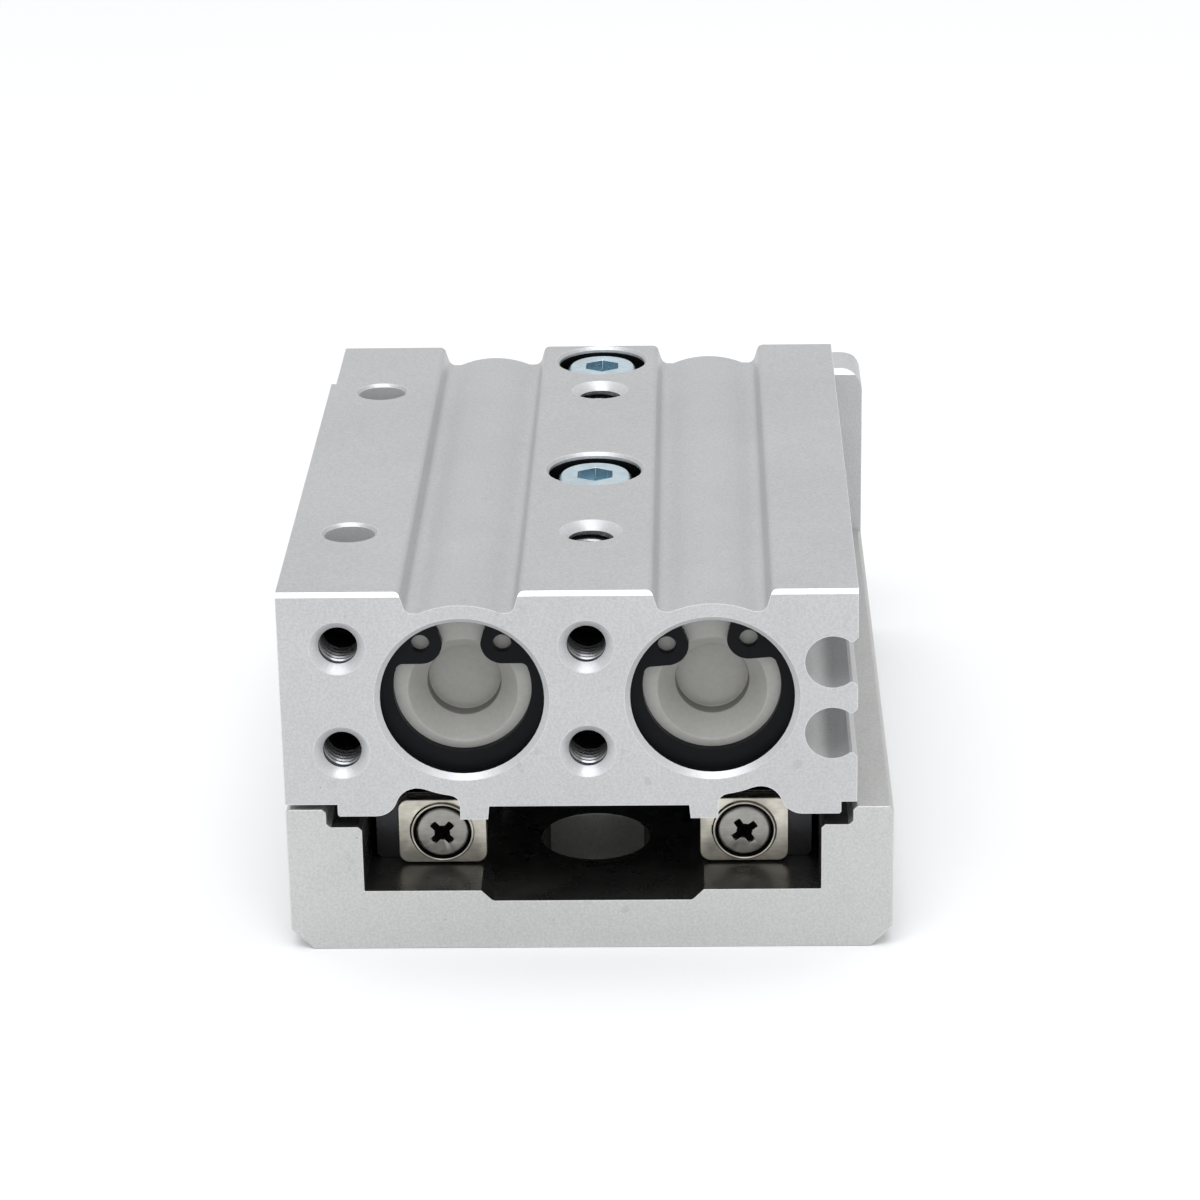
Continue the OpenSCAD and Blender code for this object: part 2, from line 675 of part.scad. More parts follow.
// A rolled stopper plate; rim and pocket face the rear
module stopper_plate(s, y, face)
translate([guide_x + s * plate_x, y, guide_z]) mirror([0, face, 0]) difference() {
    union() {
        along_y(0, plate_t) {
            square([plate_w - 2 * plate_r, plate_h], center = true);
            square([plate_w, plate_h - 2 * plate_r], center = true);
            for (i = sides, j = sides)
                translate([i * (plate_w / 2 - plate_r), j * (plate_h / 2 - plate_r)]) circle(r = plate_r);
        }
        y_rod(0, -rim_h, 0, rim_r, rim_h + 0.5);
    }
    y_rod(0, -rim_h - 1, 0, pocket_r, pocket_l + 1);
    y_rod(0, -1, 0, M3[0] + hole_slack, plate_t + 2);
}

module table() color([0.75, 0.75, 0.75]) placed() difference() {
    c = 0.4;
    half = [
        [table_w / 2 - table_chamfer, 0], [table_w / 2, table_chamfer],
        [table_w / 2, table_h - c], [table_w / 2 - c, table_h],
        [ledge_half + c, table_h], [ledge_half, table_h - c],
        [ledge_half, ledge_z + c], [ledge_half - c, ledge_z]
    ];
    recess = [
        [recess_side + c, ledge_z], [recess_side, ledge_z - c], [recess_side, floor_t],
        [channel_half + channel_slope, floor_t], [channel_half, channel_t]
    ];
    shifted = [for (p = recess) p + [guide_x, 0]];
    mirrored = [for (p = flip(recess)) p + [guide_x, 0]];
    along_y(0, table_l) polygon(concat(half, shifted, mirrored, flip(half)));
    translate([guide_x, access_y, -1]) cylinder(r = access_r, h = floor_t + 2);
    for (s = sides) {
        for (y = rail_screw_ys) translate([guide_x + s * rail_screw_x, y, 0]) {
            translate([0, 0, -1]) cylinder(r = M3[0] + hole_slack, h = floor_t + 2);
            translate([0, 0, -1]) cylinder(r = M3[1] + hole_slack, h = rail_screw_seat + 1);
        }
        for (y = load_ys) translate([s * load_pitch_x / 2, y, 0]) {
            translate([0, 0, -1]) cylinder(r = core_d / 2, h = load_core_l + 1);
            translate([0, 0, -0.01]) cylinder(r1 = core_d / 2 + 0.5, r2 = core_d / 2, h = 0.5);
        }
        y_rod(s * upper_screw_x, table_l - 9, upper_screw_z, core_r(M4), 10);
        y_rod(s * lower_screw_x, table_l - 8, lower_screw_z, core_r(M3), 9);
    }
    for (y = load_ys) translate([0, y + dowel_shift, -1]) cylinder(r = dowel_d / 2, h = dowel_l + 1);
}

module end_plate() color([0.72, 0.73, 0.74]) placed() difference() {
    h = top_z - end_drop;
    half_w = table_w / 2;
    along_y(table_l, end_t) polygon(concat(
        [[half_w - 1, end_lift], [half_w, end_lift + 1]],
        arc([half_w - end_r, h - end_r], end_r, 0, 90, 6),
        arc([-half_w + end_r, h - end_r], end_r, 90, 180, 6),
        [[-half_w, end_lift + 1], [-half_w + 1, end_lift]]
    ));
    for (end = [0, 1]) edge_cut(table_l + end * end_t, h, end_chamfer);
    dip_half = (groove_w + end_dip) / 2;
    dip = [[groove_floor_w / 2, -groove_h], [dip_half, 0], [dip_half, 1]];
    for (s = sides)
        along_y(table_l - 1, end_t + 2) translate([s * bore_x, h]) polygon(concat(dip, flip(dip)));
    for (s = sides) {
        y_rod(s * bore_x, table_l - 1, axis_z, bush_r + seat_fit, end_t + 2);
        y_rod(s * bore_x, table_l + bush_l, axis_z, bush_flange_r + hole_slack, end_t);
        end_screw_hole(s * upper_screw_x, upper_screw_z, M4);
        end_screw_hole(s * lower_screw_x, lower_screw_z, M3);
    }
}

// A counterbored hole through the end plate
module end_screw_hole(x, z, m) {
    y_rod(x, table_l - 1, z, m[0] + hole_slack, end_t + 2);
    y_rod(x, table_l + end_t - m[2] - end_screw_sink, z, m[1] + hole_slack, end_t);
}

module end_plate_screws(m, x, z) for (s = sides)
    translate([s * x, table_l + end_t - m[2] - end_screw_sink, z]) rotate([-90, 0, 0])
        socket_screw(m, end_screw_l, end_t - m[2] - end_screw_sink);

// A piston with grooves for its seals and its magnet
module piston(x) color([0.74, 0.70, 0.58]) placed() turned(x, piston_y, axis_z) difference() {
    square([bore_r - run_fit, piston_l]);
    square([rod_end_d / 2 + seat_fit, piston_l]);
    translate([bore_r - piston_groove, magnet_y]) square([3, magnet_l]);
    for (y = seal_ys) translate([bore_r - piston_groove, y]) square([3, piston_seal_l]);
}

// A ring in one of a piston's grooves, with its outside short of the bore by a gap
module piston_ring(x, y, short, l) turned(x, piston_y + y, axis_z)
    translate([bore_r - piston_groove + seat_fit, 0.05]) square([piston_groove - seat_fit - short, l - 0.1]);

module bumper(x, y, inner_r) turned(x, y, axis_z)
    translate([inner_r, 0]) square([bore_r - 2.4 - inner_r, bumper_t]);

module piston_rod(x) color([0.80, 0.80, 0.82]) placed() {
    shoulder_y = piston_y + piston_l;
    turned(x, 0, axis_z) polygon([
        [0, piston_y - 0.4], [rod_end_d / 2, piston_y - 0.4],
        [rod_end_d / 2, shoulder_y], [rod_d / 2, shoulder_y],
        [rod_d / 2, table_l - 0.3], [rod_d / 2 - 0.3, table_l],
        [rod_end_d / 2, table_l], [rod_end_d / 2, table_l + rod_end_l - 0.5],
        [rod_end_d / 2 - 0.5, table_l + rod_end_l], [0, table_l + rod_end_l]
    ]);
}

module rod_end_bush(x) turned(x, table_l, axis_z) difference() {
    union() {
        square([bush_r, bush_l]);
        translate([0, bush_l]) square([bush_flange_r, bush_flange_l]);
    }
    square([rod_end_d / 2 + seat_fit, end_t]);
}

module rod_end_nut(x) difference() {
    intersection() {
        y_rod(x, nut_y, axis_z, nut_flats / sqrt(3) - 0.15, nut_l);
        translate([x, nut_y, axis_z]) rotate([-90, 0, 0])
            cylinder(r = nut_flats / sqrt(3), h = nut_l, $fn = 6);
    }
    y_rod(x, table_l, axis_z, rod_end_d / 2 + seat_fit, end_t);
}

// Places of the rollers along a cage, set evenly about its middle
function roller_ys() = [
    for (i = [0:roller_count - 1]) cage_y + cage_l / 2 + (i - (roller_count - 1) / 2) * roller_pitch
];

module roller_cage(s) color([0.72, 0.55, 0.30]) placed() difference() {
    window_h = race_half * 2 + 0.3;
    translate([guide_x + s * race_x - cage_t / 2, cage_y, guide_z - cage_h / 2])
        cube([cage_t, cage_l, cage_h]);
    for (y = roller_ys()) translate([guide_x + s * race_x, y, guide_z])
        cube([cage_t + 1, roller_d + 0.2, window_h], center = true);
}

// Rollers crossed at right angles, one after the other
module rollers(s) color([0.85, 0.86, 0.88]) placed() for (i = [0:roller_count - 1]) {
    l = roller_d - roller_short;
    tilt = i % 2 == 0 ? 45 : -45;
    translate([guide_x + s * race_x, roller_ys()[i], guide_z]) rotate([0, tilt, 0])
        cylinder(r = roller_d / 2, h = l, center = true);
}

module left_head_cap() head_cap(-bore_x);
module right_head_cap() head_cap(bore_x);
module head_cap_o_rings() color("black") placed() for (s = sides) o_ring(s * bore_x, cap_y + flange_l / 2);
module left_rear_snap_ring() color([0.12, 0.12, 0.13]) placed() snap_ring(-bore_x, ring_in + seat_fit / 2, 0);
module right_rear_snap_ring() color([0.12, 0.12, 0.13]) placed()
    snap_ring(bore_x, ring_in + seat_fit / 2, ring_turn);
module left_rod_cover() rod_cover(-bore_x);
module right_rod_cover() rod_cover(bore_x);
module rod_cover_o_rings() color("black") placed() for (s = sides) o_ring(s * bore_x, cover_y - flange_l / 2);
module rod_seals() color("black") placed() for (s = sides) rod_seal(s * bore_x);
module front_snap_rings() color([0.12, 0.12, 0.13]) placed() for (s = sides)
    snap_ring(s * bore_x, body_l - ring_in - ring_t - seat_fit / 2, 0);
module guide_block_screws() color([0.75, 0.82, 0.88]) placed() for (y = block_screw_ys)
    translate([guide_x, y, block_head_z]) socket_screw(M5, block_screw_l, block_head_z - recess_z);
module left_guide_rail() guide_rail(-1);
module right_guide_rail() guide_rail(1);
module guide_rail_screws() color([0.25, 0.25, 0.27]) placed() for (s = sides, y = rail_screw_ys)
    translate([guide_x + s * rail_screw_x, y, rail_screw_seat]) rotate([180, 0, 0])
        socket_screw(M3, floor_t - rail_screw_seat + rail_screw_in, floor_t - rail_screw_seat);
module left_rear_stopper_plate() color([0.72, 0.70, 0.66]) placed() stopper_plate(-1, plate_y, 0);
module right_rear_stopper_plate() color([0.72, 0.70, 0.66]) placed() stopper_plate(1, plate_y, 0);
module rear_stopper_screws() color([0.60, 0.59, 0.57]) placed() for (s = sides)
    translate([guide_x + s * plate_x, plate_y - rim_h + pocket_l, guide_z]) pan_screw(s < 0 ? 45 : 35);
module front_stopper_plates() color([0.72, 0.70, 0.66]) placed() for (s = sides)
    stopper_plate(s, front_plate_y, 1);
module front_stopper_screws() color([0.60, 0.59, 0.57]) placed() for (s = sides)
    translate([guide_x + s * plate_x, front_plate_y + rim_h - pocket_l, guide_z])
        rotate([0, 0, 180]) pan_screw(45);
module end_plate_upper_screws() color([0.25, 0.25, 0.27]) placed()
    end_plate_screws(M4, upper_screw_x, upper_screw_z);
module end_plate_lower_screws() color([0.25, 0.25, 0.27]) placed()
    end_plate_screws(M3, lower_screw_x, lower_screw_z);
module left_piston() piston(-bore_x);
module right_piston() piston(bore_x);
module piston_seals() color("black") placed() for (s = sides, y = seal_ys)
    piston_ring(s * bore_x, y, seat_fit, piston_seal_l);
module piston_magnets() color([0.35, 0.33, 0.32]) placed() for (s = sides)
    piston_ring(s * bore_x, magnet_y, gap, magnet_l);
module piston_bumpers() color([0.15, 0.15, 0.15]) placed() for (s = sides) {
    bumper(s * bore_x, piston_y - bumper_t, rod_end_d / 2 + 3 * seat_fit);
    bumper(s * bore_x, piston_y + piston_l, rod_d / 2 + seat_fit);
}
module left_piston_rod() piston_rod(-bore_x);
module right_piston_rod() piston_rod(bore_x);
module rod_end_bushes() color([0.55, 0.56, 0.58]) placed() for (s = sides) rod_end_bush(s * bore_x);
module rod_end_nuts() color([0.62, 0.64, 0.66]) placed() for (s = sides) rod_end_nut(s * bore_x);
module left_roller_cage() roller_cage(-1);
module right_roller_cage() roller_cage(1);
module left_rollers() rollers(-1);
module right_rollers() rollers(1);

cylinder_body();
left_head_cap();
right_head_cap();
head_cap_o_rings();
left_rear_snap_ring();
right_rear_snap_ring();
left_rod_cover();
right_rod_cover();
rod_cover_o_rings();
rod_seals();
front_snap_rings();
guide_block();
guide_block_screws();
table();
left_guide_rail();
right_guide_rail();
guide_rail_screws();
left_rear_stopper_plate();
right_rear_stopper_plate();
rear_stopper_screws();
front_stopper_plates();
front_stopper_screws();
end_plate();
end_plate_upper_screws();
end_plate_lower_screws();
left_piston();
right_piston();
piston_seals();
piston_magnets();
piston_bumpers();
left_piston_rod();
right_piston_rod();
rod_end_bushes();
rod_end_nuts();
left_roller_cage();
right_roller_cage();
left_rollers();
right_rollers();
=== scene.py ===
"""Looks of a twin-rod pneumatic slide table: rounded edges, threads, finishes, light and camera.

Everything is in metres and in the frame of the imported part: +Z up from the table's load face,
+Y from the rear face to the end plate, and +X towards the switch slots.
"""

import json  # noqa: E402
import logging  # noqa: E402
import math  # noqa: E402
from collections.abc import Iterable, Sequence  # noqa: E402
from dataclasses import dataclass, field  # noqa: E402
from enum import Enum, IntEnum  # noqa: E402

import bmesh  # noqa: E402
import bpy  # noqa: E402
from mathutils import Matrix, Vector  # noqa: E402

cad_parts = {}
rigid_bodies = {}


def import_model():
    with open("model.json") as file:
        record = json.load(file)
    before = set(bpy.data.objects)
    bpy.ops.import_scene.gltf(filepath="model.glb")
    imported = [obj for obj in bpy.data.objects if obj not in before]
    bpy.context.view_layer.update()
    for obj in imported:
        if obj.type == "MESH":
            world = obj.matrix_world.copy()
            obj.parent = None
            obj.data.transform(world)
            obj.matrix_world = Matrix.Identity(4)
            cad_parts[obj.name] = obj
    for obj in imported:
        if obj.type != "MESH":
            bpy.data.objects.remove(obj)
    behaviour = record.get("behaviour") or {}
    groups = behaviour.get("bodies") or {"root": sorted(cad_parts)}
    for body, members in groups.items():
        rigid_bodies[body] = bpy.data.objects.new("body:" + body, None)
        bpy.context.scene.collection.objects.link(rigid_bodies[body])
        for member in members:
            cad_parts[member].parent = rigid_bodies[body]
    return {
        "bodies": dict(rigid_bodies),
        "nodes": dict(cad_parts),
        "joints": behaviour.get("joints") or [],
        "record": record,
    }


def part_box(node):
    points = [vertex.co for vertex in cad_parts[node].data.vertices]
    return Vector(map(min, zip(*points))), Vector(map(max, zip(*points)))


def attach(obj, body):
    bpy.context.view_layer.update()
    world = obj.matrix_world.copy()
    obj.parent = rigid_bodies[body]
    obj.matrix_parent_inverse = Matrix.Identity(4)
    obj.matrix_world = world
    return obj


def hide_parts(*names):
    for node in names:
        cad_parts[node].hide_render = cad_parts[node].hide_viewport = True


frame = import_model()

LOG = logging.getLogger("slide_table")
MM = 0.001
# Points nearer than this are merged, and points this near a plane count as lying on it
MERGE = 2e-6
ON_PLANE = 1e-7
# Faces turned to one another by less than this are one flat face, and edges over this are sharp
FLAT = math.radians(0.6)
SHARP = math.radians(30)
# The part of a noise's range that is spread over a pattern's own range
MIDDLE_BAND = (0.3, 0.7)
# How much finer the marks are along each axis, and how much coarser a mould's are
GROUND_STRETCH = (1, 0.02, 1)
ROLLED_STRETCH = (0.12, 1, 1)
MOULDED_COARSER = 3
# How much of the length along the axis is added to the radius, to ring walls as well as faces
ALONG_SHARE = 0.7
# Small pits in a blasted face
SPECK = 0.4 * MM
SPECK_BAND = (0.205, 0.18)
SPECK_TONE = 0.35
# Patches of uneven gloss
GLOSS_PATCH = 3 * MM
# Edges: the cosines between face and rounded edge, and how much brighter they are; a painted highlight that
# partly stands for wear
WORN_AND_LIT_BAND = (0.995, 0.90)
WORN_AND_LIT_GAIN = 1.6
WORN_AND_LIT_LIFT = 0.05
# Fine scratches, which come in patches
SCRATCH = 0.5 * MM
SCRATCH_STRETCH = (0.25, 1.3, 0.3)
SCRATCH_BAND = (0.655, 0.675)
SCRATCHED_PATCH = 7 * MM
SCRATCHED_BAND = (0.55, 0.68)
SCRATCH_TONE = 0.45
SCRATCH_DEPTH = 0.01 * MM
# The finishes of a machined piece's areas after its outside, in the order of Area; the deep one and the recess
# one are painted shade
CUT_FINISHES = ("cut_thread", "thread_depth_painted_shade", "recess_painted_shade", "bored_wall")
Colour = tuple[float, float, float]
Socket = bpy.types.NodeSocket


# ---------------------------------------------------------------- finishes


class Marks(Enum):
    """How a surface was made, which decides the direction of its fine marks."""

    BLASTED = "blasted"
    GROUND = "ground"
    ROLLED = "rolled"
    TURNED = "turned"
    MOULDED = "moulded"


class Area(IntEnum):
    """Which of a machined piece's finishes a face has."""

    OUTSIDE = 0
    THREAD = 1
    # DEPTH: painted shade deep in holes, in thread roots and in the counterbores round screw heads
    DEPTH = 2
    # RECESS: painted shade in the recess under the body and on the body's underside
    RECESS = 3
    BORED = 4
    MOUTH = 5


class Graph:
    """A material in the making, with short ways to add and link its nodes."""

    def __init__(self, name: str) -> None:
        """Start a material with a plain shader.

        Args:
            name: The material's name.
        """
        self.material = bpy.data.materials.new(name)
        self.material.use_nodes = True
        self.tree = self.material.node_tree
        self.shader = self.tree.nodes["Principled BSDF"]
        self.place = self.add("ShaderNodeTexCoord").outputs["Object"]

    def add(self, kind: str, **settings: object) -> bpy.types.Node:
        """Add a node.

        Args:
            kind: The node's type name.
            settings: Properties of the node to set.

        Returns:
            The new node.
        """
        node = self.tree.nodes.new(kind)
        for key, value in settings.items():
            setattr(node, key, value)
        return node

    def feed(self, socket: Socket, value: Socket | float | Sequence[float]) -> None:
        """Link a socket to another one, or set its number.

        Args:
            socket: The input.
            value: What goes into it.
        """
        if isinstance(value, bpy.types.NodeSocket):
            self.tree.links.new(value, socket)
        else:
            socket.default_value = value

    def math(self, operation: str, a: Socket | float, b: Socket | float = 0.0) -> Socket:
        """Work out a number from two others.

        Args:
            operation: The operation's name.
            a: The first number.
            b: The second number.

        Returns:
            The result.
        """
        node = self.add("ShaderNodeMath", operation=operation)
        self.feed(node.inputs[0], a)
        self.feed(node.inputs[1], b)
        return node.outputs[0]

    def stretched(self, factors: Sequence[float]) -> Socket:
        """Multiply the object coordinates axis by axis.

        Args:
            factors: The factor of each axis.

        Returns:
            The stretched coordinates.
        """
        node = self.add("ShaderNodeMapping")
        self.feed(node.inputs["Vector"], self.place)
        node.inputs["Scale"].default_value = factors
        return node.outputs[0]

    def noise(self, size: float, detail: float = 2.0, stretch: Sequence[float] = (1, 1, 1)) -> Socket:
        """Return noise whose blobs are about this size.

        Args:
            size: Blob size in metres.
            detail: How many finer layers it has.
            stretch: How much finer the blobs are along each axis.

        Returns:
            The noise, from 0 to 1.
        """
        node = self.add("ShaderNodeTexNoise")
        self.feed(node.inputs["Vector"], self.stretched(stretch))
        node.inputs["Scale"].default_value = 1 / size
        node.inputs["Detail"].default_value = detail
        return node.outputs["Fac"]

    def window(self, value: Socket, low: float, high: float, to: tuple[float, float] = (0, 1)) -> Socket:
        """Map a number smoothly from one range to another.

        Args:
            value: The number.
            low: Where the range starts.
            high: Where it ends.
            to: The new range.

        Returns:
            The mapped number.
        """
        node = self.add("ShaderNodeMapRange", interpolation_type="SMOOTHSTEP")
        self.feed(node.inputs["Value"], value)
        for key, number in zip(("From Min", "From Max", "To Min", "To Max"), (low, high, *to)):
            node.inputs[key].default_value = number
        return node.outputs[0]

    def blend(self, share: Socket, a: Socket | Colour, b: Socket | Colour, mode: str = "MIX") -> Socket:
        """Mix two colours.

        Args:
            share: How much of the second one shows.
            a: The first colour.
            b: The second colour.
            mode: The way they are mixed.

        Returns:
            The mixed colour.
        """
        node = self.add("ShaderNodeMix", data_type="RGBA", blend_type=mode)
        self.feed(node.inputs[0], share)
        for socket, value in ((node.inputs[6], a), (node.inputs[7], b)):
            self.feed(socket, value if isinstance(value, bpy.types.NodeSocket) else (*value, 1.0))
        return node.outputs[2]

    def relief(self, height: Socket, depth: float, under: Socket | None = None) -> Socket:
        """Turn a height into a bumped normal.

        Args:
            height: The height, from 0 to 1.
            depth: How deep it is, in metres.
            under: A normal that it lies on.

        Returns:
            The new normal.
        """
        node = self.add("ShaderNodeBump")
        node.inputs["Distance"].default_value = depth
        self.feed(node.inputs["Height"], height)
        if under is not None:
            self.feed(node.inputs["Normal"], under)
        return node.outputs[0]


@dataclass(frozen=True)
class Finish:
    """The finish of one surface: its colour, gloss, grain, marks, and its edges' wear and painted highlight.
    """

    name: str
    colour: Colour
    roughness: float
    metallic: float = 1.0
    marks: Marks = Marks.BLASTED
    grain: float = 0.16 * MM
    grain_depth: float = 0.006 * MM
    grain_tone: float = 0.03
    gloss_spread: float = 0.18
    mottle: float = 0.05
    cloud: float = 16 * MM
    # How strongly the edges are brightened: a painted highlight that partly stands for wear
    edge_light: float = 0.0
    edge_width: float = 0.12 * MM
    scratches: float = 0.0
    specks: float = 0.0
    specular: float = 0.5
    turned_x: float = 0.0
    turned_z: float = 0.0

    def marks_height(self, graph: Graph) -> Socket:
        """Lay the fine marks that the making has left.

        Args:
            graph: The material in the making.

        Returns:
            Their height, from 0 to 1.
        """
        if self.marks is Marks.GROUND:
            return graph.noise(self.grain, 3, GROUND_STRETCH)
        if self.marks is Marks.ROLLED:
            return graph.noise(self.grain, 3, ROLLED_STRETCH)
        if self.marks is Marks.MOULDED:
            return graph.noise(self.grain * MOULDED_COARSER, 3)
        if self.marks is Marks.TURNED:
            return self.rings(graph)
        return graph.noise(self.grain, 3)

    def rings(self, graph: Graph) -> Socket:
        """Lay fine rings about an axis along Y, the same on both sides of the middle.

        Args:
            graph: The material in the making.

        Returns:
            Their height, from 0 to 1.
        """
        parts = graph.add("ShaderNodeSeparateXYZ")
        graph.feed(parts.inputs[0], graph.place)
        across = graph.math("SUBTRACT", graph.math("ABSOLUTE", parts.outputs[0]), self.turned_x)
        up = graph.math("SUBTRACT", parts.outputs[2], self.turned_z)
        square = graph.math("ADD", graph.math("MULTIPLY", across, across), graph.math("MULTIPLY", up, up))
        along = graph.math("MULTIPLY", parts.outputs[1], ALONG_SHARE)
        run = graph.math("ADD", graph.math("SQRT", square), along)
        wave = graph.math("SINE", graph.math("MULTIPLY", run, math.tau / self.grain))
        return graph.window(wave, -1, 1)

    def colour_of(self, graph: Graph, marks: Socket) -> Socket:
        """Return the colour with its cloudiness, grain and specks.

        Args:
            graph: The material in the making.
            marks: The height of the fine marks.

        Returns:
            The colour.
        """
        dark = tuple(c * (1 - self.mottle) for c in self.colour)
        light = tuple(min(1.0, c * (1 + self.mottle)) for c in self.colour)
        cloud = graph.window(graph.noise(self.cloud, 2), *MIDDLE_BAND)
        colour = graph.blend(cloud, dark, light)
        fine = graph.window(marks, *MIDDLE_BAND, (1 - self.grain_tone, 1 + self.grain_tone))
        shade = graph.add("ShaderNodeCombineColor")
        for socket in shade.inputs:
            graph.feed(socket, fine)
        colour = graph.blend(1.0, colour, shade.outputs[0], "MULTIPLY")
        if self.specks:
            pits = graph.window(graph.noise(SPECK, 1), *SPECK_BAND, (0, self.specks))
            colour = graph.blend(pits, colour, tuple(c * SPECK_TONE for c in self.colour))
        return colour

    def edge_wear_and_highlight(self, graph: Graph) -> Socket:
        """Find the edges that are painted brighter than the faces beside them, a painted highlight that partly
        stands for wear.

        Args:
            graph: The material in the making.

        Returns:
            1 on the edges, and 0 elsewhere.
        """
        bevel = graph.add("ShaderNodeBevel", samples=4)
        bevel.inputs["Radius"].default_value = self.edge_width
        facing = graph.add("ShaderNodeVectorMath", operation="DOT_PRODUCT")
        graph.feed(facing.inputs[0], bevel.outputs[0])
        graph.feed(facing.inputs[1], graph.add("ShaderNodeNewGeometry").outputs["Normal"])
        return graph.window(facing.outputs["Value"], *WORN_AND_LIT_BAND)

    def material(self) -> bpy.types.Material:
        """Build the material.

        Returns:
            The material.
        """
        graph = Graph(self.name)
        shader = graph.shader
        marks = self.marks_height(graph)
        colour = self.colour_of(graph, marks)
        spread = self.gloss_spread * self.roughness
        gloss = (self.roughness - spread, self.roughness + spread)
        rough = graph.window(graph.noise(GLOSS_PATCH, 3), *MIDDLE_BAND, gloss)
        normal = graph.relief(marks, self.grain_depth)
        if self.edge_light:
            # Painted highlight along the rounded edges, partly standing for wear
            worn_and_lit = graph.math("MULTIPLY", self.edge_wear_and_highlight(graph), self.edge_light)
            bright = tuple(min(1.0, c * WORN_AND_LIT_GAIN + WORN_AND_LIT_LIFT) for c in self.colour)
            colour = graph.blend(worn_and_lit, colour, bright)
        if self.scratches:
            streak = graph.noise(SCRATCH, 2, SCRATCH_STRETCH)
            patch = graph.window(graph.noise(SCRATCHED_PATCH, 1), *SCRATCHED_BAND)
            scratch = graph.math("MULTIPLY", graph.window(streak, *SCRATCH_BAND), patch)
            scratch = graph.math("MULTIPLY", scratch, self.scratches)
            colour = graph.blend(scratch, colour, tuple(c * SCRATCH_TONE for c in self.colour))
            normal = graph.relief(scratch, SCRATCH_DEPTH, normal)
        graph.feed(shader.inputs["Base Color"], colour)
        graph.feed(shader.inputs["Roughness"], rough)
        graph.feed(shader.inputs["Normal"], normal)
        shader.inputs["Metallic"].default_value = self.metallic
        shader.inputs["Specular IOR Level"].default_value = self.specular
        return graph.material


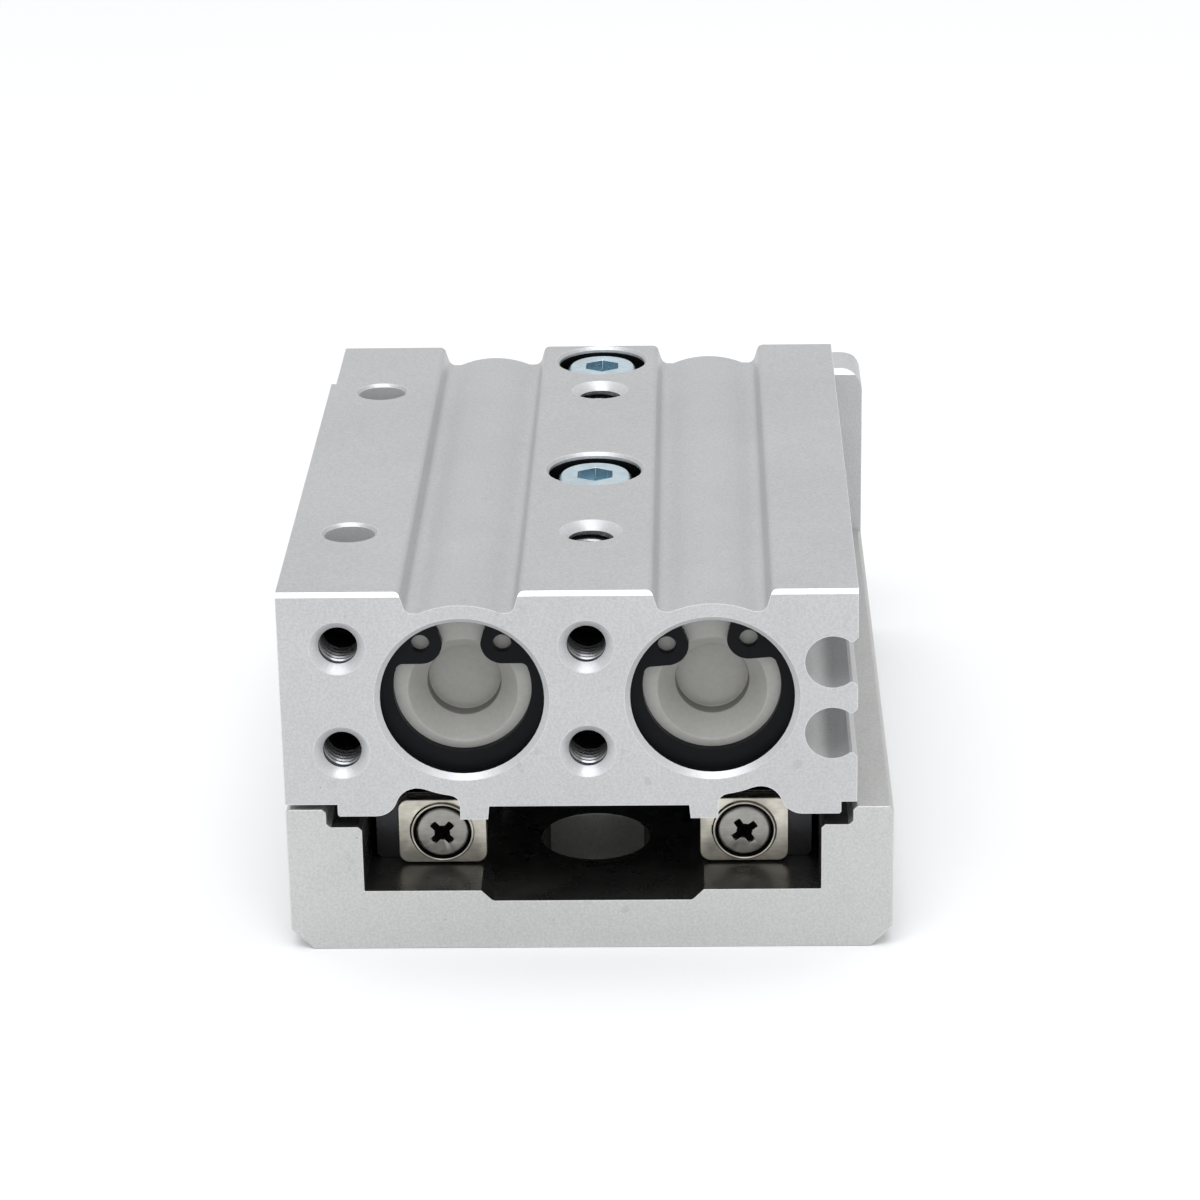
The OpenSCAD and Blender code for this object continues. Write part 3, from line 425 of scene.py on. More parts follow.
class Finishes:
    """All finishes of the slide table, each made into a material once."""

    def __init__(self, bore_x: float, axis_z: float) -> None:
        """List the finishes.

        Args:
            bore_x: Distance of the bores' axes from the middle.
            axis_z: Height of the bores' axes.
        """
        turned = {"marks": Marks.TURNED, "turned_x": bore_x, "turned_z": axis_z}
        blasted = {
            "roughness": 0.46,
            "metallic": 0.85,
            "grain": 0.26 * MM,
            "grain_depth": 0.014 * MM,
            "grain_tone": 0.07,
            "gloss_spread": 0.06,
            "mottle": 0.02,
            "edge_light": 0.9,
            "edge_width": 0.14 * MM,
        }
        self.listed = {
            finish.name: finish
            for finish in (
                Finish("anodised_body", (0.556, 0.557, 0.56), **blasted, scratches=0.2, specks=0.7),
                Finish("anodised_table", (0.57, 0.57, 0.56), **blasted, scratches=0.2, specks=0.7),
                Finish("anodised_end_plate", (0.62, 0.622, 0.63), **blasted),
                # Painted shade: the recess under the body and the body's underside
                Finish(
                    "recess_painted_shade", (0.13, 0.128, 0.122), 0.3, 0.9, Marks.ROLLED, mottle=0.2, cloud=5 * MM
                ),
                Finish("reamed_mouth", (0.42, 0.43, 0.45), 0.12, 1.0, **turned),
                Finish("cut_thread", (0.38, 0.38, 0.39), 0.24, 0.8, Marks.GROUND, mottle=0.1),
                Finish("bored_wall", (0.60, 0.60, 0.61), 0.4, 0.4, Marks.GROUND, grain_tone=0.06),
                # Painted shade: thread roots, the deep parts of holes and the counterbores round screw heads
                Finish("thread_depth_painted_shade", (0.02, 0.02, 0.021), 0.3, 0.8, Marks.GROUND, mottle=0.1),
                Finish("resin", (0.35, 0.345, 0.325), 0.38, 0.0, Marks.MOULDED, mottle=0.03, specular=0.35),
                # Painted shade on the wall of the cap's pocket
                Finish(
                    "resin_painted_shade", (0.17, 0.165, 0.155), 0.5, 0.0, Marks.MOULDED, mottle=0.06, specular=0.3
                ),
                Finish("rubber", (0.02, 0.02, 0.02), 0.7, 0.0, Marks.MOULDED, mottle=0.12),
                Finish("urethane", (0.05, 0.045, 0.04), 0.5, 0.0, Marks.MOULDED, mottle=0.1),
                Finish(
                    "black_spring", (0.004, 0.0045, 0.006), 0.36, 0.0, Marks.ROLLED, mottle=0.2, specular=0.1
                ),
                Finish("turned_aluminium", (0.62, 0.63, 0.64), 0.38, 0.6, **turned),
                Finish("ground_steel", (0.05, 0.05, 0.052), 0.28, 1.0, Marks.GROUND, edge_light=0.5),
                Finish(
                    "zinc", (0.60, 0.73, 0.80), 0.24, 1.0, Marks.ROLLED, mottle=0.08, cloud=2 * MM,
                    edge_light=0.5,
                ),
                Finish(
                    "black_oxide", (0.03, 0.03, 0.032), 0.35, 0.7, Marks.ROLLED, mottle=0.15, edge_light=0.2
                ),
                # Painted shade in the plates' pockets round the screws and in the screws' cross recesses
                Finish("gap_painted_shade", (0.006, 0.006, 0.006), 0.6, 0.0, Marks.MOULDED, mottle=0.2, specular=0.1),
                Finish(
                    "stainless_plate", (0.56, 0.53, 0.46), 0.34, 1.0, Marks.ROLLED, grain_tone=0.06,
                    mottle=0.22, cloud=2.5 * MM, edge_light=0.7, scratches=0.5,
                ),
                Finish(
                    "stainless_screw", (0.38, 0.37, 0.345), 0.42, 1.0, Marks.ROLLED, grain_tone=0.06,
                    mottle=0.12, cloud=1.5 * MM, edge_light=0.6,
                ),
                Finish("bronze", (0.60, 0.42, 0.20), 0.32, 1.0, Marks.ROLLED, mottle=0.08),
                Finish("piston_alloy", (0.63, 0.57, 0.42), 0.3, 1.0, **turned),
                Finish("magnet", (0.05, 0.048, 0.048), 0.55, 0.2, Marks.MOULDED, mottle=0.1),
                Finish("hard_chrome", (0.66, 0.66, 0.68), 0.1, 1.0, Marks.GROUND, mottle=0.02),
                Finish("turned_steel", (0.42, 0.43, 0.45), 0.28, 1.0, **turned),
                Finish("bearing_steel", (0.60, 0.61, 0.63), 0.12, 1.0, Marks.GROUND, mottle=0.03),
            )
        }
        self.made: dict[str, bpy.types.Material] = {}

    def __getitem__(self, name: str) -> bpy.types.Material:
        """Look up a finish's material, and build it when it is first asked for.

        Args:
            name: The finish's name.

        Returns:
            The material.
        """
        if name not in self.made:
            self.made[name] = self.listed[name].material()
        return self.made[name]


# ---------------------------------------------------------------- making pieces


class Workshop:
    """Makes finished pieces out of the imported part's nodes."""

    def __init__(self, packed: dict) -> None:
        """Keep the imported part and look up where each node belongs.
        """
        record = packed["record"]
        self.nodes: dict[str, bpy.types.Object] = packed["nodes"]
        self.slots = {row["node"]: row["material_slot"] for row in record["subparts"]}
        bodies = record["behaviour"]["bodies"]
        self.bodies = {node: body for body, members in bodies.items() for node in members}
        low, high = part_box("left_head_cap")
        middle = (low + high) / 2
        self.bore_x = abs(middle.x)
        self.axis_z = middle.z
        self.finishes = Finishes(self.bore_x, self.axis_z)

    def copy(self, node: str) -> bmesh.types.BMesh:
        """Copy a node's mesh, with its doubles merged and its flat faces joined.

        Args:
            node: The node.

        Returns:
            The copy.
        """
        mesh = bmesh.new()
        mesh.from_mesh(self.nodes[node].data)
        bmesh.ops.remove_doubles(mesh, verts=mesh.verts, dist=MERGE)
        bmesh.ops.dissolve_limit(mesh, angle_limit=FLAT, verts=mesh.verts, edges=mesh.edges)
        return mesh

    def round_edges(self, mesh: bmesh.types.BMesh, width: float, segments: int = 2) -> None:
        """Round the sharp edges of a mesh.

        Args:
            mesh: The mesh.
            width: Width of the rounding.
            segments: Steps across the rounding.
        """
        paired = [edge for edge in mesh.edges if len(edge.link_faces) == 2]
        sharp = [edge for edge in paired if edge.calc_face_angle(0) > SHARP]
        bmesh.ops.bevel(
            mesh,
            geom=sharp,
            offset=width,
            offset_type="OFFSET",
            segments=segments,
            profile=0.5,
            affect="EDGES",
            clamp_overlap=True,
            material=-1,
        )

    def piece(self, mesh: bmesh.types.BMesh, node: str, finishes: Sequence[str]) -> None:
        """Make a mesh into a finished piece that stands for a node.

        Args:
            mesh: The mesh, in the part's own frame. It is used up.
            node: The node that it stands for.
            finishes: The finish of each material index.
        """
        name = f"{node}_finished"
        for face in mesh.faces:
            face.smooth = True
        data = bpy.data.meshes.new(name)
        mesh.to_mesh(data)
        mesh.free()
        for finish in finishes:
            data.materials.append(self.finishes[finish])
        item = bpy.data.objects.new(name, data)
        bpy.context.scene.collection.objects.link(item)
        even = item.modifiers.new("even shading", "WEIGHTED_NORMAL")
        even.keep_sharp = True
        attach(item, self.bodies[node])
        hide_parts(node)
        self.slots[node]
        LOG.info("%s: %d faces", name, len(data.polygons))

    def rounded(self, node: str, finish: str, width: float = 0.08 * MM) -> None:
        """Stand a copy with rounded edges for a node.

        Args:
            node: The node.
            finish: Its finish.
            width: Width of the rounding.
        """
        mesh = self.copy(node)
        self.round_edges(mesh, width)
        self.piece(mesh, node, [finish])

    def painted(self, node: str, finish: str) -> None:
        """Give a node that keeps its own mesh a finish.

        Args:
            node: The node.
            finish: Its finish.
        """
        data = self.nodes[node].data
        data.materials.clear()
        data.materials.append(self.finishes[finish])
        LOG.info("%s: %s", node, finish)


@dataclass(frozen=True)
class Thread:
    """A thread cut into the wall of a blind hole.

    It runs out over a short way at both ends, and its roots and what lies deeper than lit get painted shade.
    The hole's plain wall is found by its distance from the axis, as shares of the core's radius.
    """

    core: float
    pitch: float
    depth: float
    length: float
    below_chamfer: float = 0.25 * MM
    over_bottom: float = 0.3 * MM
    run_out: float = 0.35 * MM
    lit: float = 5.5 * MM
    crest: float = 0.14
    flank: float = 0.38
    steps: int = 40
    slack: float = 0.1 * MM
    bottom_reach: float = 0.4 * MM
    gap_reach: float = 0.6 * MM
    wall_band: tuple[float, float] = (0.95, 1.02)
    gap_share: float = 1.1
    upright: float = 0.9
    smooth_under: float = 25

    def cut(self, mesh: bmesh.types.BMesh, mouth: Vector, inward: Vector, chamfer: float) -> None:
        """Swap the hole's plain wall for a threaded one, and give its bottom, its roots and what lies deeper
        than lit painted shade.

        Args:
            mesh: The mesh that has the hole.
            mouth: Middle of the hole's mouth.
            inward: Direction from the mouth to the bottom.
            chamfer: Depth of the chamfer at the mouth.
        """
        first, last = chamfer + self.below_chamfer, self.length - self.over_bottom
        turn = Vector((0, 0, 1)).rotation_difference(inward).to_matrix().to_4x4()
        place = Matrix.Translation(mouth) @ turn
        to_hole = place.inverted()
        self.remove_wall(mesh, to_hole)
        self.finish_chamfer(mesh, to_hole, chamfer)
        wall = self.helix(first, last)
        for face in wall.faces:
            middle = face.calc_center_median()
            # The roots and what lies deeper than lit get painted shade
            root = middle.xy.length > self.core + self.depth / 2
            face.material_index = Area.DEPTH if root or middle.z > self.lit else Area.THREAD
        bmesh.ops.transform(wall, matrix=place, verts=wall.verts)
        for edge in wall.edges:
            edge.smooth = len(edge.link_faces) < 2 or edge.calc_face_angle(0) < math.radians(self.smooth_under)
        carried = bpy.data.meshes.new("thread")
        wall.to_mesh(carried)
        wall.free()
        mesh.from_mesh(carried)
        bpy.data.meshes.remove(carried)
        for depth in (first, last):
            self.close_gap(mesh, to_hole, depth)

    def remove_wall(self, mesh: bmesh.types.BMesh, to_hole: Matrix) -> None:
        """Delete the hole's plain wall, and give its bottom painted shade.

        Args:
            mesh: The mesh that has the hole.
            to_hole: Turns the part's frame into the hole's own, with Z going inwards.
        """
        wall = []
        inner, outer = (self.core * share for share in self.wall_band)
        for face in mesh.faces:
            middle = to_hole @ face.calc_center_median()
            if middle.xy.length > outer or not 0 < middle.z < self.length + self.slack:
                continue
            across = 1 - abs((to_hole.to_3x3() @ face.normal).z)
            if across > self.upright and middle.xy.length > inner:
                wall.append(face)
            elif middle.z > self.length - self.bottom_reach:
                face.material_index = Area.DEPTH
        bmesh.ops.delete(mesh, geom=wall, context="FACES")

    def finish_chamfer(self, mesh: bmesh.types.BMesh, to_hole: Matrix, chamfer: float) -> None:
        """Give the chamfer at the hole's mouth the finish of a bored wall.

        Args:
            mesh: The mesh that has the hole.
            to_hole: Turns the part's frame into the hole's own, with Z going inwards.
            chamfer: Depth of the chamfer.
        """
        deepest, widest = chamfer + self.slack, self.core + chamfer
        for face in mesh.faces:
            places = [to_hole @ vertex.co for vertex in face.verts]
            if all(-MERGE < p.z < deepest and p.xy.length < widest for p in places):
                face.material_index = Area.BORED

    def close_gap(self, mesh: bmesh.types.BMesh, to_hole: Matrix, depth: float) -> None:
        """Join the threaded wall to the rest of the hole at one of its ends.

        Args:
            mesh: The mesh that has the hole.
            to_hole: Turns the part's frame into the hole's own, with Z going inwards.
            depth: Depth of that end.
        """

        def beside(edge: bmesh.types.BMEdge) -> bool:
            """Tell whether an edge lies near that end, on the hole's wall."""
            middle = to_hole @ ((edge.verts[0].co + edge.verts[1].co) / 2)
            near_wall = middle.xy.length < self.core * self.gap_share
            return near_wall and abs(middle.z - depth) < self.gap_reach

        loops = [edge for edge in mesh.edges if edge.is_boundary and beside(edge)]
        for face in bmesh.ops.bridge_loops(mesh, edges=loops)["faces"]:
            # Deeper than lit, the joining faces get painted shade
            face.material_index = Area.THREAD if depth < self.lit else Area.DEPTH

    def helix(self, first: float, last: float) -> bmesh.types.BMesh:
        """Return the threaded wall, about the Z axis.

        Args:
            first: Depth at which it starts.
            last: Depth at which it ends.

        Returns:
            The wall, with its faces turned to the axis.
        """
        wall = bmesh.new()
        crest, flank = self.crest * self.pitch, self.flank * self.pitch
        outline = (
            (self.core, 0.0),
            (self.core, crest),
            (self.core + self.depth / 2, crest + flank / 2),
            (self.core + self.depth, crest + flank),
            (self.core + self.depth, self.pitch - flank),
            (self.core + self.depth / 2, self.pitch - flank / 2),
            (self.core, self.pitch),
        )
        start = first - 2 * self.pitch
        points = [wall.verts.new((radius, 0, start + z)) for radius, z in outline]
        lines = [wall.edges.new(pair) for pair in zip(points, points[1:])]
        turns = math.ceil((last - start) / self.pitch) + 1
        bmesh.ops.spin(
            wall,
            geom=points + lines,
            cent=(0, 0, 0),
            axis=(0, 0, 1),
            dvec=(0, 0, self.pitch / self.steps),
            angle=math.tau * turns,
            steps=self.steps * turns,
        )
        bmesh.ops.remove_doubles(wall, verts=wall.verts, dist=MERGE)
        for height, normal in ((first, (0, 0, -1)), (last, (0, 0, 1))):
            whole = wall.verts[:] + wall.edges[:] + wall.faces[:]
            bmesh.ops.bisect_plane(
                wall, geom=whole, plane_co=(0, 0, height), plane_no=normal, clear_outer=True, dist=ON_PLANE
            )
        for vertex in wall.verts:
            fade = min((vertex.co.z - first) / self.run_out, (last - vertex.co.z) / self.run_out, 1.0)
            radius = vertex.co.xy.length
            wanted = self.core + (radius - self.core) * max(fade, 0.0)
            vertex.co.xy = vertex.co.xy * (wanted / radius)
        bmesh.ops.recalc_face_normals(wall, faces=wall.faces)
        face = wall.faces[:][0]
        if face.normal.dot(Vector((*face.calc_center_median().xy, 0))) > 0:
            bmesh.ops.reverse_faces(wall, faces=wall.faces)
        return wall


# ---------------------------------------------------------------- sub-assemblies


@dataclass
class CylinderBody:
    """The twin-bore body, its threaded holes and the screws that hold the guide block.

    What ends in turn or turns is a part of a face's normal, by which walls and slopes are told apart.
    """

    shop: Workshop
    edge: float = 0.11 * MM
    row_in: float = 18.55 * MM
    row_pitch: float = 49 * MM
    centre_x: float = 0.2 * MM
    plain_x: float = -26.5 * MM
    plain_r: float = 2.85 * MM
    screw_y: tuple[float, float] = (-7.75 * MM, 32.45 * MM)
    screw_sink_r: float = 5.45 * MM
    port_in: float = 9.3 * MM
    flat: float = 0.6 * MM
    rear_x: tuple[float, float] = (-26.6 * MM, 0.0)
    rear_z: float = 6.07 * MM
    mouth_r: float = 8.84 * MM
    mouth_skin: float = 0.02 * MM
    mouth_slope_r: float = 9.84 * MM
    wall_turn: float = 0.3
    slope_turns: tuple[float, float] = (0.5, 0.9)
    seat_turn: float = -0.3
    seat_h: float = 2.2 * MM
    seat_x: float = 14.5 * MM
    chamfer: float = 0.95 * MM
    small: Thread = field(default_factory=lambda: Thread(2.1 * MM, 0.8 * MM, 0.34 * MM, 10 * MM))
    port: Thread = field(default_factory=lambda: Thread(2.1 * MM, 0.8 * MM, 0.34 * MM, 7.5 * MM))
    large: Thread = field(default_factory=lambda: Thread(2.5 * MM, 1.0 * MM, 0.4 * MM, 11 * MM))

    def build(self) -> None:
        """Build the body and dress its screws."""
        shop = self.shop
        low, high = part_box("cylinder_body")
        mesh = shop.copy("cylinder_body")
        shop.round_edges(mesh, self.edge)
        for x in self.rear_x:
            for z in (shop.axis_z - self.rear_z, shop.axis_z + self.rear_z):
                self.small.cut(mesh, Vector((x, low.y, z)), Vector((0, 1, 0)), self.chamfer)
        for y in (low.y + self.row_in, low.y + self.row_in + self.row_pitch):
            self.large.cut(mesh, Vector((self.centre_x, y, high.z)), Vector((0, 0, -1)), self.chamfer)
        for x, y in ((low.x, low.y + self.port_in), (low.x + self.flat, high.y - self.port_in)):
            self.port.cut(mesh, Vector((x, y, shop.axis_z)), Vector((1, 0, 0)), self.chamfer)
        self.darken_gaps(mesh)
        self.darken_underside(mesh, low)
        self.ream_mouths(mesh)
        for y in (low.y + self.row_in, low.y + self.row_in + self.row_pitch):
            self.finish_wall(mesh, self.plain_x, y)
        finishes = ["anodised_body", *CUT_FINISHES, "reamed_mouth"]
        shop.piece(mesh, "cylinder_body", finishes)
        shop.rounded("guide_block_screws", "zinc")

    def finish_wall(self, mesh: bmesh.types.BMesh, x: float, y: float) -> None:
        """Give the wall and floor of a plain hole in the top their own finish.

        Args:
            mesh: The body.
            x: Where the hole's axis is across the body.
            y: Where the hole's axis is along the body.
        """
        for face in mesh.faces:
            if all(math.hypot(v.co.x - x, v.co.y - y) < self.plain_r for v in face.verts):
                face.material_index = Area.BORED

    def darken_gaps(self, mesh: bmesh.types.BMesh) -> None:
        """Darken the counterbores of the block screws from the tops of their heads down, as painted shade.

        Args:
            mesh: The body.
        """
        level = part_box("guide_block_screws")[1].z

        def sunk(face: bmesh.types.BMFace, y: float) -> bool:
            """Tell whether a face lies within the counterbore at y."""
            away = [math.hypot(v.co.x - self.centre_x, v.co.y - y) for v in face.verts]
            return max(away) < self.screw_sink_r

        for y in self.screw_y:
            faces = [face for face in mesh.faces if sunk(face, y)]
            edges = {edge for face in faces for edge in face.edges}
            points = {vertex for face in faces for vertex in face.verts}
            whole = [*points, *edges, *faces]
            bmesh.ops.bisect_plane(
                mesh, geom=whole, plane_co=(0, 0, level), plane_no=(0, 0, 1), dist=ON_PLANE
            )
            for face in mesh.faces:
                if face.calc_center_median().z < level and sunk(face, y):
                    # Painted shade in the gap round the screw head
                    face.material_index = Area.DEPTH

    def ream_mouths(self, mesh: bmesh.types.BMesh) -> None:
        """Give the walls of the bores' mouths and the chamfers round them their own finishes.

        Args:
            mesh: The body.
        """
        for face in mesh.faces:
            middle = face.calc_center_median()
            across = abs(middle.x) - self.shop.bore_x
            radius = math.hypot(across, middle.z - self.shop.axis_z)
            turn = abs(face.normal.y)
            if turn < self.wall_turn and radius < self.mouth_r + self.mouth_skin:
                face.material_index = Area.MOUTH
            elif self.slope_turns[0] < turn < self.slope_turns[1] and radius < self.mouth_slope_r:
                face.material_index = Area.BORED

    def darken_underside(self, mesh: bmesh.types.BMesh, low: Vector) -> None:
        """Paint the machined seat under the body dark, as painted shade.

        Args:
            mesh: The body.
            low: The lowest corner of the body.
        """
        for face in mesh.faces:
            middle = face.calc_center_median()
            within = middle.z < low.z + self.seat_h and abs(middle.x) < self.seat_x
            if within and face.normal.z < self.seat_turn:
                # Painted shade on the downward faces under the body
                face.material_index = Area.RECESS


@dataclass
class BoreEnds:
    """What closes the bores: caps and snap rings at the rear, rod covers and snap rings in front."""

    shop: Workshop
    edge: float = 0.12 * MM
    cap_edge: float = 0.16 * MM
    pocket_r: float = 3.95 * MM
    pocket_skin: float = 0.15 * MM
    wall_turn: float = 0.5

    def build(self) -> None:
        """Build both ends."""
        for side in ("left", "right"):
            self.cap(f"{side}_head_cap")
            self.ring(f"{side}_rear_snap_ring")
            self.shop.rounded(f"{side}_rod_cover", "turned_aluminium")
        self.ring("front_snap_rings")
        for node in ("head_cap_o_rings", "rod_cover_o_rings", "rod_seals"):
            self.shop.painted(node, "rubber")

    def cap(self, node: str) -> None:
        """Round a cap's edges, and darken the wall of the pocket in its middle with painted shade.

        Args:
            node: The cap's node.
        """
        mesh = self.shop.copy(node)
        self.shop.round_edges(mesh, self.cap_edge, segments=3)
        for face in mesh.faces:
            middle = face.calc_center_median()
            radius = math.hypot(abs(middle.x) - self.shop.bore_x, middle.z - self.shop.axis_z)
            if abs(face.normal.y) < self.wall_turn and abs(radius - self.pocket_r) < self.pocket_skin:
                # Painted shade on the pocket's wall
                face.material_index = 1
        self.shop.piece(mesh, node, ["resin", "resin_painted_shade"])

    def ring(self, node: str) -> None:
        """Round the edges of snap rings, and merge what lies too close where fillets meet flats.

        Args:
            node: The node of one or more rings.
        """
        mesh = self.shop.copy(node)
        self.shop.round_edges(mesh, self.edge)
        bmesh.ops.remove_doubles(mesh, verts=mesh.verts, dist=MERGE)
        self.shop.piece(mesh, node, ["black_spring"])


@dataclass
class Guide:
    """The crossed-roller guide: block, rails, cages and rollers."""

    shop: Workshop
    edge: float = 0.1 * MM

    def build(self) -> None:
        """Build the guide."""
        self.shop.rounded("guide_block", "ground_steel", self.edge)
        self.shop.rounded("guide_rail_screws", "black_oxide")
        for side in ("left", "right"):
            self.shop.rounded(f"{side}_guide_rail", "ground_steel", self.edge)
            self.shop.painted(f"{side}_roller_cage", "bronze")
            self.shop.painted(f"{side}_rollers", "bearing_steel")


@dataclass
class Stoppers:
    """The rolled plates that keep the roller cages in, with their cross recessed screws."""

    shop: Workshop
    edge: float = 0.22 * MM
    screw_x: float = 16.7 * MM
    screw_z: float = 11 * MM
    pocket_r: float = 3.45 * MM
    pocket_skin: float = 0.06 * MM
    cross_r: float = 1.9 * MM
    cross_skin: float = 0.16 * MM
    cross_edge: float = 0.05 * MM

    def build(self) -> None:
        """Build the plates and screws at both ends."""
        for node in ("left_rear_stopper_plate", "right_rear_stopper_plate", "front_stopper_plates"):
            mesh = self.shop.copy(node)
            self.shop.round_edges(mesh, self.edge, segments=3)
            self.darken(mesh, self.pocket_r, self.pocket_skin)
            self.shop.piece(mesh, node, ["stainless_plate", "gap_painted_shade"])
        for node in ("rear_stopper_screws", "front_stopper_screws"):
            mesh = self.shop.copy(node)
            self.shop.round_edges(mesh, self.cross_edge)
            self.darken(mesh, self.cross_r, self.cross_skin)
            self.shop.piece(mesh, node, ["stainless_screw", "gap_painted_shade"])

    def darken(self, mesh: bmesh.types.BMesh, reach: float, skin: float) -> None:
        """Give what lies sunk in near the screws' axes painted shade.

        Args:
            mesh: The plates or the screws.
            reach: How far from an axis it reaches.
            skin: How far under the outer face it starts.
        """
        outer = max(abs(vertex.co.y) for vertex in mesh.verts)
        for face in mesh.faces:
            around = [math.hypot(abs(v.co.x) - self.screw_x, v.co.z - self.screw_z) for v in face.verts]
            if max(around) < reach and abs(face.calc_center_median().y) < outer - skin:
                # Painted shade on what lies sunk in
                face.material_index = 1


@dataclass
class Table:
    """The sliding table with its threaded load face."""

    shop: Workshop
    edge: float = 0.11 * MM
    load_pitch: tuple[float, float] = (38 * MM, 40 * MM)
    load_ahead: float = 2 * MM
    load_chamfer: float = 0.5 * MM
    recess_x: float = 28 * MM
    recess_over: float = 2 * MM
    recess_under: float = 0.3 * MM
    recess_turn: float = 0.5
    thread: Thread = field(default_factory=lambda: Thread(2.1 * MM, 0.8 * MM, 0.34 * MM, 6 * MM))

    def build(self) -> None:
        """Build the table."""
        low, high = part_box("table")
        mesh = self.shop.copy("table")
        self.shop.round_edges(mesh, self.edge)
        middle_y = (low.y + high.y) / 2 + self.load_ahead
        for x in (-self.load_pitch[0] / 2, self.load_pitch[0] / 2):
            for y in (middle_y - self.load_pitch[1] / 2, middle_y + self.load_pitch[1] / 2):
                self.thread.cut(mesh, Vector((x, y, low.z)), Vector((0, 0, 1)), self.load_chamfer)
        self.darken_recess(mesh, low, high)
        self.shop.piece(mesh, "table", ["anodised_table", *CUT_FINISHES])

    def darken_recess(self, mesh: bmesh.types.BMesh, low: Vector, high: Vector) -> None:
        """Paint the machined recess between the walls dark, as painted shade.

        Args:
            mesh: The table.
            low: The lowest corner of the table.
            high: The highest corner of the table.
        """
        for face in mesh.faces:
            middle = face.calc_center_median()
            between = low.z + self.recess_over < middle.z < high.z - self.recess_under
            if between and abs(middle.x) < self.recess_x and abs(face.normal.y) < self.recess_turn:
                # Painted shade in the recess between the walls
                face.material_index = Area.RECESS


@dataclass
class EndPlate:
    """The end plate, its screws, and the bushes and nuts of the rods."""

    shop: Workshop
    edge: float = 0.11 * MM

    def build(self) -> None:
        """Build the end plate."""
        self.shop.rounded("end_plate", "anodised_end_plate", self.edge)
        self.shop.rounded("end_plate_upper_screws", "black_oxide")
        self.shop.rounded("end_plate_lower_screws", "black_oxide")
        self.shop.rounded("rod_end_bushes", "turned_steel")
        self.shop.rounded("rod_end_nuts", "zinc")


@dataclass
class Drive:
    """The pistons and rods inside the body."""

    shop: Workshop

    def build(self) -> None:
        """Build the pistons and rods."""
        for side in ("left", "right"):
            self.shop.rounded(f"{side}_piston_rod", "hard_chrome")
            self.shop.rounded(f"{side}_piston", "piston_alloy")
        self.shop.painted("piston_seals", "rubber")
        self.shop.painted("piston_magnets", "magnet")
        self.shop.painted("piston_bumpers", "urethane")


# ---------------------------------------------------------------- studio


@dataclass(frozen=True)
class SoftBox:
    """A rectangular soft light: where it hangs, in metres, and its power in watts."""

    name: str
    at: tuple[float, float, float]
    power: float
    size: tuple[float, float] = (0.9, 0.5)
    towards: tuple[float, float, float] = (0, 0, 0.03)
    colour: Colour = (0.92, 0.96, 1.0)

    def hang(self) -> None:
        """Add the light to the scene."""
        light = bpy.data.lights.new(self.name, "AREA")
        light.shape = "RECTANGLE"
        light.size, light.size_y = self.size
        light.energy = self.power
        light.color = self.colour
        item = bpy.data.objects.new(self.name, light)
        item.location = self.at
        ahead = Vector(self.towards) - Vector(self.at)
        item.rotation_euler = ahead.to_track_quat("-Z", "Y").to_euler()
        bpy.context.scene.collection.objects.link(item)


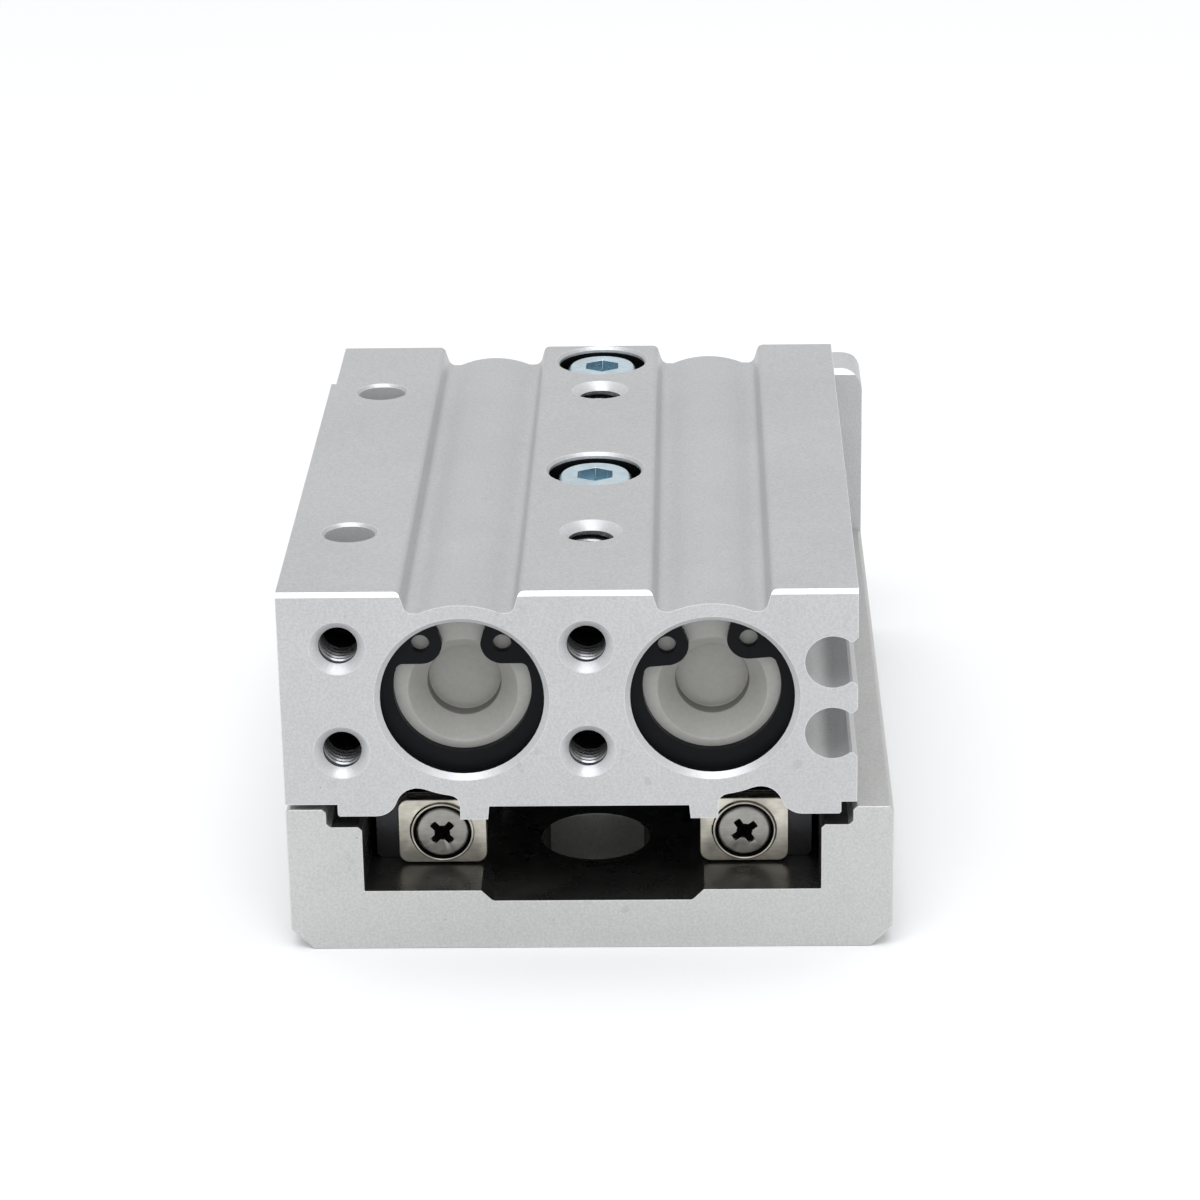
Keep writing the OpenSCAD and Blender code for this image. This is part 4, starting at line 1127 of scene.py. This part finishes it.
@dataclass
class Studio:
    """Pale floor, soft light and the camera; angles are in degrees and the lens in millimetres."""

    floor_size: float = 6.0
    floor_drop: float = 0.02 * MM
    floor_cloud: float = 0.4
    floor_tone: tuple[float, float] = (0.87, 0.89)
    floor_roughness: float = 0.9
    floor_specular: float = 0.1
    sky: float = 0.80
    boxes: tuple[SoftBox, ...] = (
        SoftBox("overhead", (0.05, 0.05, 1.1), 2.9),
        SoftBox("front", (-0.1, -0.55, 1.0), 5),
    )
    camera_at: tuple[float, float, float] = (12.0 * MM, -426.85 * MM, 191.3 * MM)
    yaw: float = -1.57
    pitch: float = 21.56
    roll: float = -1.02
    lens: float = 115.65

    def build(self) -> None:
        """Build the whole studio."""
        self.floor()
        self.world()
        for box in self.boxes:
            box.hang()
        self.camera()

    def floor(self) -> None:
        """Lay the floor that the part stands on."""
        mesh = bmesh.new()
        under = Matrix.Translation((0, 0, -self.floor_drop))
        bmesh.ops.create_grid(mesh, x_segments=1, y_segments=1, size=self.floor_size / 2, matrix=under)
        data = bpy.data.meshes.new("floor")
        mesh.to_mesh(data)
        mesh.free()
        graph = Graph("pale_floor")
        tone = graph.window(graph.noise(self.floor_cloud, 2), *MIDDLE_BAND, self.floor_tone)
        colour = graph.add("ShaderNodeCombineColor")
        for socket in colour.inputs:
            graph.feed(socket, tone)
        graph.feed(graph.shader.inputs["Base Color"], colour.outputs[0])
        graph.shader.inputs["Roughness"].default_value = self.floor_roughness
        graph.shader.inputs["Specular IOR Level"].default_value = self.floor_specular
        data.materials.append(graph.material)
        item = bpy.data.objects.new("floor", data)
        bpy.context.scene.collection.objects.link(item)

    def world(self) -> None:
        """Light the studio evenly from all round."""
        world = bpy.data.worlds.new("studio")
        world.use_nodes = True
        bpy.context.scene.world = world
        back = world.node_tree.nodes["Background"]
        back.inputs["Color"].default_value = (1, 1, 1, 1)
        back.inputs["Strength"].default_value = self.sky

    def camera(self) -> None:
        """Set the camera behind the part and above it, looking along it and down."""
        yaw, pitch, roll = (math.radians(angle) for angle in (self.yaw, self.pitch, self.roll))
        ahead = Vector((math.sin(yaw) * math.cos(pitch), math.cos(yaw) * math.cos(pitch), -math.sin(pitch)))
        level = Vector((math.cos(yaw), -math.sin(yaw), 0))
        up = level.cross(ahead)
        right = level * math.cos(roll) + up * math.sin(roll)
        data = bpy.data.cameras.new("camera")
        data.lens = self.lens
        data.clip_start = 0.01
        item = bpy.data.objects.new("camera", data)
        turn = Matrix((right, right.cross(ahead), -ahead)).transposed()
        item.matrix_world = Matrix.Translation(self.camera_at) @ turn.to_4x4()
        bpy.context.scene.collection.objects.link(item)
        bpy.context.scene.camera = item


def main() -> None:
    """Build the slide table and its studio."""
    logging.basicConfig(level=logging.INFO, format="%(name)s: %(message)s")
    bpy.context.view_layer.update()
    bpy.context.scene.view_settings.view_transform = "Standard"
    shop = Workshop(frame)
    for maker in (CylinderBody, BoreEnds, Guide, Stoppers, Table, EndPlate, Drive):
        maker(shop).build()
    Studio().build()


if __name__ == "__main__":
    main()
